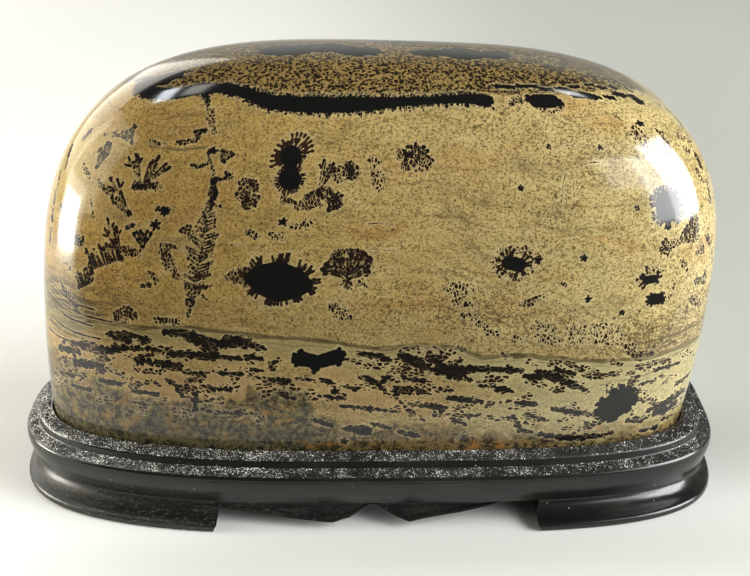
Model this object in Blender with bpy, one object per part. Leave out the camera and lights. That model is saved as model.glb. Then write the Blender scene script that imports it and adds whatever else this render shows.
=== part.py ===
"""A polished jasper block seated in its carved black stand.

Metres, +Z up. The origin is under the middle of the stand, +X runs along its length to the viewer's
right, and the front faces -Y. Sizes below are in millimetres and are scaled once, by MM.
"""
import math

import bmesh
import bpy

MM = 0.001

# Plan of the stand: a superellipse whose left end is rounder than its right end.
STAND_HALF_LENGTH = 115.0
STAND_HALF_DEPTH = 52.33
LEFT_POWER = 2.8
RIGHT_POWER = 3.6

# Heights and insets of the stand's board, from the seat outwards. An inset is measured in from the plan.
SEAT_FLOOR_Z = 14.0
SEAT_GAP = 0.35
SEAT_EDGE = (8.8, 23.45)
RIM_EDGE = (4.3, 22.4)
STEP_FOOT = (4.15, 19.75)
FLANGE_EDGE = (0.0, 18.15)
EDGE_ROUND = 0.45
RIM_FALL = (0.1, 0.2)
FACE_SLOPE = 0.1
FLANGE_FALL = (0.2, 0.15, 0.9)
SEAT_WALL_SHORT = 0.3
UNDERCUT_TOP_Z = 16.6
UNDERCUT_DEPTH = 2.5
UNDERCUT_POWER = 1.6
UNDERCUT_STEPS = 5
BOARD_UNDERSIDE_Z = 8.1

# The two feet wrap the ends. Their faces are coves that flare out to a rounded lip on the floor.
COVE_TOP = (4.1, 7.5)
COVE_FOOT = (-0.1, 2.6)
COVE_FULLNESS = 0.96
COVE_FLARE = 0.93
LIP_REACH = 0.67
LIP_ROUND = 1.3
LIP_FLATNESS = 0.6
FRONT_FLARE = 2.41
FOOT_THICKNESS = 13.0
LEFT_FOOT_END = -49.0
RIGHT_FOOT_END = 54.3
FOOT_END_BULGE = 1.3
JOIN_Z = 9.2

# The aprons between the feet hang in two leaf-shaped lobes that meet in a notch. Lower edge, as (x, z).
APRON_EDGE = (
    (-53.0, 5.3), (-37.6, 4.4), (-24.9, 3.5), (-15.4, 3.0), (-11.3, 2.9), (-6.0, 3.6), (-2.8, 4.8),
    (1.0, 6.6), (5.1, 5.0), (8.5, 3.7), (12.6, 2.9), (17.7, 3.4), (28.8, 4.4), (37.8, 5.7), (44.8, 7.3),
    (51.0, 8.5),
)
APRON_SET_BACK = 0.4
APRON_THICKNESS = 7.0
APRON_JOIN_Z = 8.8
APRON_LEVELS = 5
APRON_LONG_STEP = 9.0

# The stone: an upright block that swells to its widest a third of the way up and rounds over above.
STONE_SEAT_Z = 14.3
STONE_SEAT_ROUND = 2.6
STONE_SHOW_Z = 23.51
STONE_WIDEST_Z = 62.8
STONE_TOP_Z = 142.1
STONE_SHOW_HALF = (105.5, 42.8)
STONE_WIDEST_HALF = (107.86, 46.0)
STONE_CENTRE_X = -0.44
STONE_LEAN = 7.04 / 100.0
CROWN_TILT = 0.031
SWELL_POWER = 1.8
LEFT_ROUNDING = 3.19
RIGHT_ROUNDING = 3.08
DEPTH_ROUNDING = 2.7

# How finely the round shapes are divided.
STONE_COLUMNS = 80
STONE_CROWN_ROWS = 18
STAND_COLUMNS = 72
FOOT_COLUMNS = 28
COVE_STEPS = 5


def superellipse(angle, half_length, half_depth):
    """Point of the plan outline at a parameter angle, and the outward normal there."""
    cosine = math.cos(angle)
    sine = math.sin(angle)
    power = LEFT_POWER if cosine < 0 else RIGHT_POWER
    x = math.copysign(abs(cosine) ** (2 / power), cosine) * half_length
    y = math.copysign(abs(sine) ** (2 / power), sine) * half_depth
    normal_x = math.copysign(abs(x / half_length) ** (power - 1), x) / half_length
    normal_y = math.copysign(abs(y / half_depth) ** (power - 1), y) / half_depth
    size = math.hypot(normal_x, normal_y)
    return x, y, normal_x / size, normal_y / size


def even_angles(start, end, count):
    """Parameter angles from start to end that share out the outline's length and its bend evenly."""
    fine = 1440
    weights = [0.0]
    angles = [start + (end - start) * i / fine for i in range(fine + 1)]
    previous = superellipse(angles[0], STAND_HALF_LENGTH, STAND_HALF_DEPTH)
    for angle in angles[1:]:
        here = superellipse(angle, STAND_HALF_LENGTH, STAND_HALF_DEPTH)
        length = math.hypot(here[0] - previous[0], here[1] - previous[1])
        turn = math.acos(min(1.0, here[2] * previous[2] + here[3] * previous[3]))
        weights.append(weights[-1] + length / STAND_HALF_LENGTH + turn)
        previous = here
    found = []
    place = 0
    for i in range(count):
        target = weights[-1] * i / (count - 1)
        while place < fine and weights[place + 1] < target:
            place += 1
        found.append(angles[min(place, fine)])
    found[-1] = end
    return found


def stand_point(angle, inset, z, flare=0.0):
    """A point of the stand: inset from its plan, and let out by flare along the front and back."""
    x, y, normal_x, normal_y = superellipse(angle, STAND_HALF_LENGTH, STAND_HALF_DEPTH)
    inward = inset - flare * normal_y * normal_y
    return x - inward * normal_x, y - inward * normal_y, z


def cove(z):
    """Inset and flare of the feet's face at a height, a quarter round hollowed under the waist."""
    drop = min(max((COVE_TOP[1] - z) / (COVE_TOP[1] - COVE_FOOT[1]), 0.0), 1.0)
    share = (1 - math.sqrt(1 - COVE_FULLNESS * drop * drop)) / (1 - math.sqrt(1 - COVE_FULLNESS))
    return COVE_TOP[0] + (COVE_FOOT[0] - COVE_TOP[0]) * share, FRONT_FLARE * COVE_FLARE * share


def surface(bm, rows):
    """Quads between successive rows of points, each of which closes on itself."""
    made = [[bm.verts.new([MM * value for value in point]) for point in row] for row in rows]
    for low, high in zip(made, made[1:]):
        for i in range(len(low)):
            j = (i + 1) % len(low)
            bm.faces.new((low[i], low[j], high[j], high[i]))
    return made


def finish(name, bm, sharp_degrees=32):
    """Closes a bmesh into an object, with its faces pointing out and round parts shaded smooth."""
    bmesh.ops.recalc_face_normals(bm, faces=bm.faces)
    bmesh.ops.triangulate(bm, faces=bm.faces)
    mesh = bpy.data.meshes.new(name)
    bm.to_mesh(mesh)
    bm.free()
    mesh.shade_smooth()
    mesh.set_sharp_from_angle(angle=math.radians(sharp_degrees))
    thing = bpy.data.objects.new(name, mesh)
    bpy.context.scene.collection.objects.link(thing)
    return thing


def stone_ring(z, angles):
    """One level of the stone. Above its widest level the ends and the faces round over at their own rate."""
    half_length, half_depth = STONE_WIDEST_HALF
    left = right = half_length
    depth = half_depth
    rise = 0.0
    if z <= STONE_WIDEST_Z:
        share = ((STONE_WIDEST_Z - z) / (STONE_WIDEST_Z - STONE_SHOW_Z)) ** SWELL_POWER
        left = right = half_length - (half_length - STONE_SHOW_HALF[0]) * share
        depth = half_depth - (half_depth - STONE_SHOW_HALF[1]) * share
    else:
        rise = (z - STONE_WIDEST_Z) / (STONE_TOP_Z - STONE_WIDEST_Z)
        left = half_length * (1 - rise ** LEFT_ROUNDING) ** (1 / LEFT_ROUNDING)
        right = half_length * (1 - rise ** RIGHT_ROUNDING) ** (1 / RIGHT_ROUNDING)
        depth = half_depth * (1 - rise ** DEPTH_ROUNDING) ** (1 / DEPTH_ROUNDING)
    centre = STONE_CENTRE_X + STONE_LEAN * (z - STONE_SHOW_Z)
    row = []
    for angle in angles:
        reach = left if math.cos(angle) < 0 else right
        x, y, _, _ = superellipse(angle, reach, depth)
        row.append((x + centre, y, z - CROWN_TILT * x * rise * rise))
    return row


def make_stone():
    """The jasper: stacked levels from the flat seat to the crown."""
    angles = even_angles(0.0, 2 * math.pi, STONE_COLUMNS + 1)[:-1]
    rows = []
    for degrees in (90, 60, 30, 0):
        turn = math.radians(degrees)
        inward = STONE_SEAT_ROUND * (1 - math.cos(turn))
        z = STONE_SEAT_Z + STONE_SEAT_ROUND * (1 - math.sin(turn))
        ring = stone_ring(z, angles)
        scale = 1 - inward / STONE_SHOW_HALF[1]
        rows.append([(x - math.copysign(inward, x), y * scale, z) for x, y, z in ring])
    for i in range(5):
        rows.append(stone_ring(STONE_SHOW_Z + (STONE_WIDEST_Z - STONE_SHOW_Z) * i / 4, angles))
    for i in range(1, STONE_CROWN_ROWS):
        rise = math.sin(0.5 * math.pi * i / STONE_CROWN_ROWS) ** (2 / 3)
        rows.append(stone_ring(STONE_WIDEST_Z + (STONE_TOP_Z - STONE_WIDEST_Z) * rise, angles))
    bm = bmesh.new()
    made = surface(bm, rows)
    bm.faces.new(made[0])
    crown_x = STONE_CENTRE_X + STONE_LEAN * (STONE_TOP_Z - STONE_SHOW_Z)
    peak = bm.verts.new((MM * crown_x, 0.0, MM * STONE_TOP_Z))
    last = made[-1]
    for i, vert in enumerate(last):
        bm.faces.new((vert, last[(i + 1) % len(last)], peak))
    return finish("jasper_stone", bm, sharp_degrees=40)


def board_profile():
    """Insets and heights of the board, from the seat's edge over the rim, step and flange to its underside."""
    points = [SEAT_EDGE]
    points.append((RIM_EDGE[0] + EDGE_ROUND, RIM_EDGE[1] + RIM_FALL[0]))
    points.append((RIM_EDGE[0], RIM_EDGE[1] - RIM_FALL[1]))
    points.append((RIM_EDGE[0] - FACE_SLOPE, RIM_EDGE[1] - RIM_FALL[1] - EDGE_ROUND))
    points.append((STEP_FOOT[0], STEP_FOOT[1] + EDGE_ROUND))
    points.append((STEP_FOOT[0] - EDGE_ROUND, STEP_FOOT[1]))
    points.append((FLANGE_EDGE[0] + EDGE_ROUND, FLANGE_EDGE[1] + FLANGE_FALL[0]))
    points.append((FLANGE_EDGE[0], FLANGE_EDGE[1] - FLANGE_FALL[1]))
    points.append((FLANGE_EDGE[0] - FACE_SLOPE, FLANGE_EDGE[1] - FLANGE_FALL[2]))
    fall = UNDERCUT_TOP_Z - BOARD_UNDERSIDE_Z - EDGE_ROUND
    for i in range(UNDERCUT_STEPS + 1):
        share = i / UNDERCUT_STEPS
        points.append((UNDERCUT_DEPTH * share**UNDERCUT_POWER, UNDERCUT_TOP_Z - fall * share))
    points.append((UNDERCUT_DEPTH + EDGE_ROUND, BOARD_UNDERSIDE_Z))
    return points


def make_board():
    """The board with the seat sunk in its top, its stippled rim and flange, and its undercut edge."""
    angles = even_angles(0.0, 2 * math.pi, STAND_COLUMNS + 1)[:-1]
    seat = []
    for z in (SEAT_FLOOR_Z, SEAT_EDGE[1] - SEAT_WALL_SHORT):
        row = []
        for angle in angles:
            x, y, _, _ = superellipse(angle, STONE_SHOW_HALF[0] + SEAT_GAP, STONE_SHOW_HALF[1] + SEAT_GAP)
            row.append((x + STONE_CENTRE_X, y, z))
        seat.append(row)
    rows = seat + [[stand_point(angle, inset, z) for angle in angles] for inset, z in board_profile()]
    bm = bmesh.new()
    made = surface(bm, rows)
    bm.faces.new(made[0])
    bm.faces.new(made[-1])
    return finish("stand", bm)


def foot_profile():
    """Closed section of a foot as (inset, flare, z), from its hidden top down the cove, the lip and back up."""
    points = [(COVE_TOP[0], 0.0, JOIN_Z)]
    for i in range(COVE_STEPS + 1):
        z = COVE_TOP[1] + (COVE_FOOT[1] - COVE_TOP[1]) * i / COVE_STEPS
        points.append((*cove(z), z))
    for degrees in (45, 0, -45, -90):
        turn = math.radians(degrees)
        inset = -LIP_REACH + LIP_ROUND * LIP_FLATNESS * (1 - math.cos(turn))
        points.append((inset, FRONT_FLARE, LIP_ROUND * (1 + math.sin(turn))))
    points.append((FOOT_THICKNESS, 0.0, 0.0))
    points.append((FOOT_THICKNESS, 0.0, JOIN_Z))
    return points


def plan_angle(x):
    """Parameter angle, on the back half, at which the plan has this x."""
    power = LEFT_POWER if x < 0 else RIGHT_POWER
    return math.acos(math.copysign(abs(x / STAND_HALF_LENGTH) ** (power / 2), x))


def make_foot(name, end_x):
    """One foot, wrapped round its end of the stand from the back apron to the front one."""
    side = math.copysign(1.0, end_x)
    angle = plan_angle(end_x)
    if side < 0:
        angles = even_angles(angle, 2 * math.pi - angle, FOOT_COLUMNS)
    else:
        angles = even_angles(-angle, angle, FOOT_COLUMNS)
    profile = foot_profile()
    rows = []
    for i, angle in enumerate(angles):
        last = i in (0, len(angles) - 1)
        row = []
        for inset, flare, z in profile:
            x, y, z = stand_point(angle, inset, z, flare)
            if last:
                x = end_x - side * FOOT_END_BULGE * math.sin(math.pi * min(z / COVE_TOP[1], 1.0)) ** 2
            row.append((x, y, z))
        rows.append(row)
    bm = bmesh.new()
    made = surface(bm, rows)
    bm.faces.new(made[0])
    bm.faces.new(made[-1])
    return finish(name, bm)


def make_apron(name, side):
    """One apron, a coved panel whose lower edge is cut to the two lobes. Side is -1 in front, 1 behind."""
    stations = []
    for (x0, z0), (x1, z1) in zip(APRON_EDGE, APRON_EDGE[1:]):
        pieces = 2 if x1 - x0 > APRON_LONG_STEP else 1
        stations += [(x0 + (x1 - x0) * i / pieces, z0 + (z1 - z0) * i / pieces) for i in range(pieces)]
    stations.append(APRON_EDGE[-1])
    rows = []
    for x, edge_z in stations:
        angle = side * plan_angle(x)
        row = []
        for i in range(APRON_LEVELS + 1):
            z = APRON_JOIN_Z + (edge_z - APRON_JOIN_Z) * i / APRON_LEVELS
            inset, flare = cove(z)
            row.append((x, stand_point(angle, inset + APRON_SET_BACK, z, flare)[1], z))
        row.append((x, stand_point(angle, COVE_TOP[0] + APRON_THICKNESS, edge_z)[1], edge_z))
        row.append((x, stand_point(angle, COVE_TOP[0] + APRON_THICKNESS, edge_z)[1], APRON_JOIN_Z))
        rows.append(row)
    bm = bmesh.new()
    made = surface(bm, rows)
    bm.faces.new(made[0])
    bm.faces.new(made[-1])
    return finish(name, bm)


def join(thing, part):
    """Joins a carved part into the stand's one piece of wood."""
    part.hide_render = True
    part.display_type = "WIRE"
    union = thing.modifiers.new(part.name, "BOOLEAN")
    union.operation = "UNION"
    union.object = part


def paint(thing, colour, roughness):
    material = bpy.data.materials.new(thing.name)
    material.use_nodes = True
    shader = material.node_tree.nodes["Principled BSDF"]
    shader.inputs["Base Color"].default_value = (*colour, 1.0)
    shader.inputs["Roughness"].default_value = roughness
    shader.inputs["Metallic"].default_value = 0.0
    thing.data.materials.append(material)


for leftover in list(bpy.data.objects):
    bpy.data.objects.remove(leftover)

stone = make_stone()
paint(stone, (0.55, 0.42, 0.24), 0.15)

stand = make_board()
join(stand, make_foot("left_foot", LEFT_FOOT_END))
join(stand, make_foot("right_foot", RIGHT_FOOT_END))
join(stand, make_apron("front_apron", -1))
join(stand, make_apron("back_apron", 1))
paint(stand, (0.012, 0.012, 0.011), 0.25)
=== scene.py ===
# %% [markdown]
# # A polished jasper block on its carved stand
#
# The real thing is a block of dendritic jasper, ground and polished all over, that stands in a low wooden
# stand lacquered black. The CAD model gives both pieces their size and place. This script gives them their
# finish: the stone's markings, its polish, and the punched grain of the stand.
#
# The frame comes first.

# %% Load the frame
import math

import bpy
import numpy as np
from mathutils import Matrix, Vector


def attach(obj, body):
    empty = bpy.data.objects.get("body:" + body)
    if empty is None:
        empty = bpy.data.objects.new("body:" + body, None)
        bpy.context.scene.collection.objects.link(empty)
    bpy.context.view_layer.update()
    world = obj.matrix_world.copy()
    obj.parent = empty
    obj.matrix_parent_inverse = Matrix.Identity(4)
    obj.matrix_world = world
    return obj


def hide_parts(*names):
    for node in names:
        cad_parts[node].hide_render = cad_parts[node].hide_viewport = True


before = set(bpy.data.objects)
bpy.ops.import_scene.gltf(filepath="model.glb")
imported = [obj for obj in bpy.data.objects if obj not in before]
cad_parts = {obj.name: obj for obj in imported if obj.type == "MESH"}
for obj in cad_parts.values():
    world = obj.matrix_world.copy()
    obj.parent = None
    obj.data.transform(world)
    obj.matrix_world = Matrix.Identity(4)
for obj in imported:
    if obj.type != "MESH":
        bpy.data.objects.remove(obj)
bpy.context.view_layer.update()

MM = 0.001
print("pieces in the frame:", sorted(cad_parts))

# %% [markdown]
# ## The camera
#
# The block was looked at from a little above, from about half a metre. A camera is a point and three
# directions, so it is worked out here once, and the same numbers later turn a place in the picture into
# a place on the stone. That way a marking sits on the stone itself and stays there from every side.

# %% Camera
FRAME_WIDTH = 750
FRAME_HEIGHT = 576
LENS = 69.6
SENSOR = 36.0
PITCH = math.radians(23.0)
YAW = math.radians(-0.71)
LOOK_AT = (2.55, 0.0, 60.65)
DISTANCE = 482.37

back = np.array([math.sin(YAW) * math.cos(PITCH), -math.cos(YAW) * math.cos(PITCH), math.sin(PITCH)])
right = np.array([math.cos(YAW), math.sin(YAW), 0.0])
above = np.cross(back, right)
eye = np.array(LOOK_AT) + DISTANCE * back
focal = LENS / SENSOR * FRAME_WIDTH

camera = bpy.data.objects.new("camera", bpy.data.cameras.new("camera"))
camera.data.lens = LENS
camera.data.sensor_width = SENSOR
camera.data.clip_start = 0.01
camera.data.clip_end = 20.0
axes = Matrix([right, above, back]).transposed().to_4x4()
camera.matrix_world = Matrix.Translation(Vector(eye * MM)) @ axes
bpy.context.scene.collection.objects.link(camera)
bpy.context.scene.camera = camera


def picture_place(points):
    """Pixel (across, down) at which each point, in millimetres, shows in the picture."""
    away = points - eye
    depth = -(away @ back)
    across = FRAME_WIDTH / 2 + focal * (away @ right) / depth
    down = FRAME_HEIGHT / 2 - focal * (away @ above) / depth
    return across, down


print("camera stands at", eye.round(1), "mm")

# %% [markdown]
# ## The stone's surface
#
# A lapidary grinds such a block freehand, so its plan is neither a box nor an oval. A superellipse covers
# both with one number, and here the left end is a little rounder than the right. The levels stand on
# each other, lean slightly, are widest a good third of the way up, and round over above that.
#
# The surface is worked out on a fine sheet of places, rows up and columns round, about 0.4 mm apart. The
# sheet is only a drawing board for the markings. The mesh keeps the few of its places that it needs.

# %% Sizes of the stone, in millimetres
LEFT_POWER = 2.8
RIGHT_POWER = 3.6
SEAT_Z = 14.3
SEAT_ROUND = 2.6
SHOW_Z = 23.51
WIDEST_Z = 62.8
TOP_Z = 142.09
SHOW_HALF = (105.5, 42.8)
WIDEST_HALF = (107.86, 46.0)
CENTRE_X = -0.44
LEAN = 7.04 / 100.0
CROWN_TILT = 0.031
SWELL_POWER = 1.8
LEFT_ROUNDING = 3.19
RIGHT_ROUNDING = 3.08
DEPTH_ROUNDING = 2.7

COLUMNS = 1408
ROWS = 384
PATH_SAMPLES = 40001
PROFILE_SAMPLES = 6001
SMALLEST_STEP = 0.02


def plan(turn, half_length, half_depth):
    """Points of the plan's outline, seen from above, at the given turns from +X."""
    cosine = np.cos(turn)
    sine = np.sin(turn)
    power = np.where(cosine < 0, LEFT_POWER, RIGHT_POWER)
    reach = (np.abs(cosine) ** power + np.abs(sine) ** power) ** (-1 / power)
    return half_length * reach * cosine, half_depth * reach * sine


def even_turns(start, end, count, half_length, half_depth, bend_share=0.0):
    """Turns that share out the outline's length, and as much of its bend as asked, in equal steps."""
    turn = np.linspace(start, end, PATH_SAMPLES)
    x, y = plan(turn, half_length, half_depth)
    step = np.hypot(np.diff(x), np.diff(y))
    heading = np.unwrap(np.arctan2(np.diff(y), np.diff(x)))
    bend = np.abs(np.diff(heading, prepend=heading[0]))
    path = np.concatenate([[0.0], np.cumsum(step + bend_share * half_length * bend)])
    return np.interp(np.linspace(0.0, path[-1], count), path, turn)


def stone_level(stage, turn):
    """Points of the stone at a stage from 0 to 3: the rounded seat edge, the side, and the crown."""
    inward = 0.0
    rise = 0.0
    if stage < 1.0:
        lift = 0.5 * math.pi * stage
        inward = SEAT_ROUND * (1 - math.sin(lift))
        z = SEAT_Z + SEAT_ROUND * (1 - math.cos(lift))
    elif stage < 2.0:
        z = SEAT_Z + SEAT_ROUND + (WIDEST_Z - SEAT_Z - SEAT_ROUND) * (stage - 1.0)
    else:
        rise = math.sin(0.5 * math.pi * (stage - 2.0)) ** (2 / 3)
        z = WIDEST_Z + (TOP_Z - WIDEST_Z) * rise
    if stage < 2.0:
        share = ((WIDEST_Z - z) / (WIDEST_Z - SHOW_Z)) ** SWELL_POWER
        left_half = right_half = WIDEST_HALF[0] - (WIDEST_HALF[0] - SHOW_HALF[0]) * share
        half_depth = WIDEST_HALF[1] - (WIDEST_HALF[1] - SHOW_HALF[1]) * share
    else:
        left_half = WIDEST_HALF[0] * max(1 - rise**LEFT_ROUNDING, 0.0) ** (1 / LEFT_ROUNDING)
        right_half = WIDEST_HALF[0] * max(1 - rise**RIGHT_ROUNDING, 0.0) ** (1 / RIGHT_ROUNDING)
        half_depth = WIDEST_HALF[1] * max(1 - rise**DEPTH_ROUNDING, 0.0) ** (1 / DEPTH_ROUNDING)
    x, y = plan(turn, np.where(np.cos(turn) < 0, left_half, right_half), half_depth)
    x = x - np.sign(x) * inward
    y = y * (1 - inward / SHOW_HALF[1])
    heights = z - CROWN_TILT * x * rise * rise
    return np.stack([x + CENTRE_X + LEAN * (z - SHOW_Z), y, heights], axis=-1)


# The columns start behind the stone, so the front is one unbroken stretch of the sheet.
column_turns = even_turns(0.5 * math.pi, 2.5 * math.pi, COLUMNS + 1, *WIDEST_HALF)[:-1]
front = np.array([1.5 * math.pi])
stages = np.linspace(0.0, 3.0, PROFILE_SAMPLES)
profile = np.array([stone_level(stage, front)[0] for stage in stages])
climb = np.concatenate([[0.0], np.cumsum(np.linalg.norm(np.diff(profile, axis=0), axis=1))])
row_stages = np.interp(np.linspace(0.0, climb[-1], ROWS + 1), climb, stages)
sheet = np.array([stone_level(stage, column_turns) for stage in row_stages])

along = np.roll(sheet, -1, axis=1) - np.roll(sheet, 1, axis=1)
upward = np.gradient(sheet, axis=0)
normals = np.cross(along, upward)
normals[-1] = normals[-2].mean(axis=0)
normals /= np.linalg.norm(normals, axis=2, keepdims=True)
column_step = np.maximum(np.linalg.norm(along, axis=2) / 2, SMALLEST_STEP)
row_step = np.linalg.norm(upward, axis=2)
print("sheet:", sheet.shape[:2], "places,", round(float(climb[-1]), 1), "mm up the front,")
print("steps of", column_step[150].mean().round(2), "mm round and", row_step[150].mean().round(2), "mm up")

# %% [markdown]
# ## From the picture to the stone
#
# Each marking is given by the pixel at which it shows. A ray from the camera through that pixel meets the
# stone at one place, and that place is written as a row and a column of the sheet, with a fraction. From
# there on, the marking is drawn in millimetres on the stone, round its bends, and not on the picture.

# %% Pixels to places
seen_across, seen_down = picture_place(sheet)
facing = np.einsum("rck,rck->rc", eye - sheet, normals) > 0.0
front_rows, front_columns = np.nonzero(facing)
pixel_rows = np.clip(seen_down[facing].round().astype(int), 0, FRAME_HEIGHT - 1)
pixel_columns = np.clip(seen_across[facing].round().astype(int), 0, FRAME_WIDTH - 1)
row_at = np.full((FRAME_HEIGHT, FRAME_WIDTH), -1)
column_at = row_at.copy()
row_at[pixel_rows, pixel_columns] = front_rows
column_at[pixel_rows, pixel_columns] = front_columns
for shift in (1, -1):
    for axis in (0, 1):
        empty = row_at < 0
        row_at[empty] = np.roll(row_at, shift, axis)[empty]
        column_at[empty] = np.roll(column_at, shift, axis)[empty]
seen_pixels = np.argwhere(row_at >= 0)
NEIGHBOUR_REACH = 1.5


def spot(across, down):
    """Row and column of the sheet, with fractions, of the place that shows at a pixel."""
    y, x = round(down), round(across)
    if row_at[y, x] < 0:
        y, x = seen_pixels[np.abs(seen_pixels - (y, x)).sum(axis=1).argmin()]
    row, column = int(row_at[y, x]), int(column_at[y, x])
    ray = right * (across - FRAME_WIDTH / 2) / focal - above * (down - FRAME_HEIGHT / 2) / focal - back
    normal = normals[row, column]
    hit = eye + ray * ((sheet[row, column] - eye) @ normal) / (ray @ normal)
    offset = np.clip(hit - sheet[row, column], -NEIGHBOUR_REACH, NEIGHBOUR_REACH)
    rows = offset @ upward[row, column] / row_step[row, column] ** 2
    columns = offset @ along[row, column] / 2 / column_step[row, column] ** 2
    return row + rows, column + columns


def on_stone(rows, columns):
    """Points in millimetres at places of the sheet."""
    low = np.clip(np.floor(rows).astype(int), 0, ROWS - 1)
    left = np.floor(columns).astype(int)
    rise = np.clip(rows - low, 0, 1)[:, None]
    run = (columns - left)[:, None]
    under = sheet[low, left % COLUMNS] * (1 - run) + sheet[low, (left + 1) % COLUMNS] * run
    over = sheet[low + 1, left % COLUMNS] * (1 - run) + sheet[low + 1, (left + 1) % COLUMNS] * run
    return under * (1 - rise) + over * rise


def moved(place, run, rise):
    """The place that lies so many millimetres to the right of another and above it."""
    row = int(np.clip(round(place[0]), 0, ROWS - 1))
    column = round(place[1]) % COLUMNS
    return place[0] + rise / row_step[row, column], place[1] + run / column_step[row, column]


MIDDLE_PIXEL = (375, 250)
middle = spot(*MIDDLE_PIXEL)
print("the pixel", MIDDLE_PIXEL, "shows", on_stone(np.array([middle[0]]), np.array([middle[1]]))[0].round(1))

# %% [markdown]
# ## Ink on the sheet
#
# Dendrites are films of manganese and iron oxide that crept along cracks while the rock was young, so
# their edges are crisp, and they branch into round lobes. A picture would be the quick way to show them,
# but it would be no part of the stone. Here each marking is a set of round-ended strokes, and the sheet
# holds the distance to the nearest outline in millimetres, negative inside. A distance can be sharpened
# to a clean edge at any zoom, which a colour on a mesh can't.
#
# Where lobes grew against each other they kept a thin pale line between them. That line is the set of
# places that are as near to one lobe as to the next.
#
# Three more sheets go with the ink: how brown it is, how much of its edge the material may carve into
# lobes, and the distance to the olive veins, which are drawn with the same strokes.

# %% The sheet of ink
FAR = 4.0
ink = np.full(sheet.shape[:2], FAR)
brown = np.zeros(sheet.shape[:2])
carving = np.ones(sheet.shape[:2])
vein = np.full(sheet.shape[:2], FAR)
MARKS_SEED = 31
draw = np.random.default_rng(MARKS_SEED)
# A marking is worked out in a window of the sheet round its strokes, with this much to spare in
# millimetres and in steps. Places within TONE_REACH of it take its tone.
WINDOW_MARGIN = 0.9
WINDOW_STRETCH = 1.3
WINDOW_SPARE = 2
WIDEST_WINDOW = COLUMNS / 5
TONE_REACH = 0.4


def stamp(strokes, gap=0.0, tone=0.0, field=None, floor=FAR, carve=1.0):
    """Draws strokes (row, column, row, column, radius, radius) as one marking, no deeper than the floor."""
    field = ink if field is None else field
    strokes = np.array(strokes, dtype=float)
    starts = on_stone(strokes[:, 0], strokes[:, 1])
    ends = on_stone(strokes[:, 2], strokes[:, 3])
    reach = strokes[:, 4:].max() + WINDOW_MARGIN
    rows = strokes[:, [0, 2]]
    columns = strokes[:, [1, 3]]
    nearest = np.clip(rows.round().astype(int), 0, ROWS), columns.round().astype(int) % COLUMNS
    step = column_step[nearest].min()
    row_pad = reach / row_step[int(np.clip(rows.mean(), 0, ROWS))].min() + WINDOW_SPARE
    column_pad = min(WINDOW_STRETCH * reach / step + WINDOW_SPARE, WIDEST_WINDOW)
    low = max(int(rows.min() - row_pad), 0)
    high = min(int(rows.max() + row_pad) + 1, ROWS + 1)
    strip = np.arange(int(columns.min() - column_pad), int(columns.max() + column_pad) + 1) % COLUMNS
    window = np.ix_(np.arange(low, high), strip)
    board = sheet[window]
    best = np.full(board.shape[:2], FAR)
    second = best.copy()
    for start, end, first, last in zip(starts, ends, strokes[:, 4], strokes[:, 5]):
        span = end - start
        away = board - start
        share = np.clip(away @ span / max(span @ span, 1e-9), 0, 1)
        distance = np.linalg.norm(away - share[..., None] * span, axis=2) - (first + (last - first) * share)
        second = np.minimum(second, np.maximum(best, distance))
        best = np.minimum(best, distance)
    if gap:
        best = np.maximum(best, (gap - (second - best)) / 2)
    best = np.maximum(best, -floor)
    over = best < np.minimum(field[window], TONE_REACH)
    if field is ink:
        brown[window] = np.where(over, tone, brown[window])
        carving[window] = np.where(over, carve, carving[window])
    field[window] = np.minimum(field[window], best)


def path_strokes(places, radii):
    """Strokes along a chain of places whose radius changes from place to place."""
    return [(*a, *b, r, s) for a, b, r, s in zip(places, places[1:], radii, radii[1:])]


print("the sheet holds", ink.size, "places of ink")

# %% [markdown]
# ## Shapes of ink
#
# The same few habits of growth make every marking. A burst is a solid heart with club-shaped petals all
# round. A tuft sends ribs up from one root, and a comb from a whole base line. A film lies along a bedding
# plane. A thicket is a patch so shallow that the material can carve it into lobes: the closer its depth is
# to zero, the further its lobes stand apart. Each habit is one short function that only says where its
# strokes go, and a seeded source of chance keeps any two from being alike.

# %% Helpers that measure on the stone
def points_of(places):
    places = np.array(places, dtype=float)
    return on_stone(places[:, 0], places[:, 1])


def resampled(places, step):
    """Places every so many millimetres along a chain of places."""
    points = points_of(places)
    path = np.concatenate([[0.0], np.cumsum(np.linalg.norm(np.diff(points, axis=0), axis=1))])
    count = max(int(round(path[-1] / step)), 1) + 1
    reach = np.linspace(0.0, path[-1], count)
    places = np.array(places, dtype=float)
    return np.stack([np.interp(reach, path, places[:, 0]), np.interp(reach, path, places[:, 1])], axis=1)


def chain(pixels, radii, step, wobble=0.0):
    """Places along pixels, and a radius in millimetres for each of them."""
    places = [spot(*pixel) for pixel in pixels]
    stems = resampled(places, step) if len(places) > 1 else np.array(places)
    widths = np.interp(np.linspace(0, 1, len(stems)), np.linspace(0, 1, len(radii)), radii)
    return [tuple(place) for place in stems], widths * draw.uniform(1 - wobble, 1 + wobble, len(stems))


def dot(place, radius):
    return (*place, *place, radius, radius)


def petal(root, heading, length, root_radius, tip_radius):
    """One stroke from a root in a heading, which is a turn from the viewer's right towards up."""
    tip = moved(root, length * math.cos(heading), length * math.sin(heading))
    return (*root, *tip, root_radius, tip_radius)


# %% Habits of growth
# The share of the material's carving that drawn ribs and petals get, so that they stay crisp.
CRISP = 0.2
THICKET_STEP = 1.6
FILM_STEP = 1.3
HEART_STEP = 0.8
LINE_STEP = 1.6


def drawn_chain(places, radii):
    return path_strokes(places, list(radii)) if len(places) > 1 else [dot(places[0], radii[0])]


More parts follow.
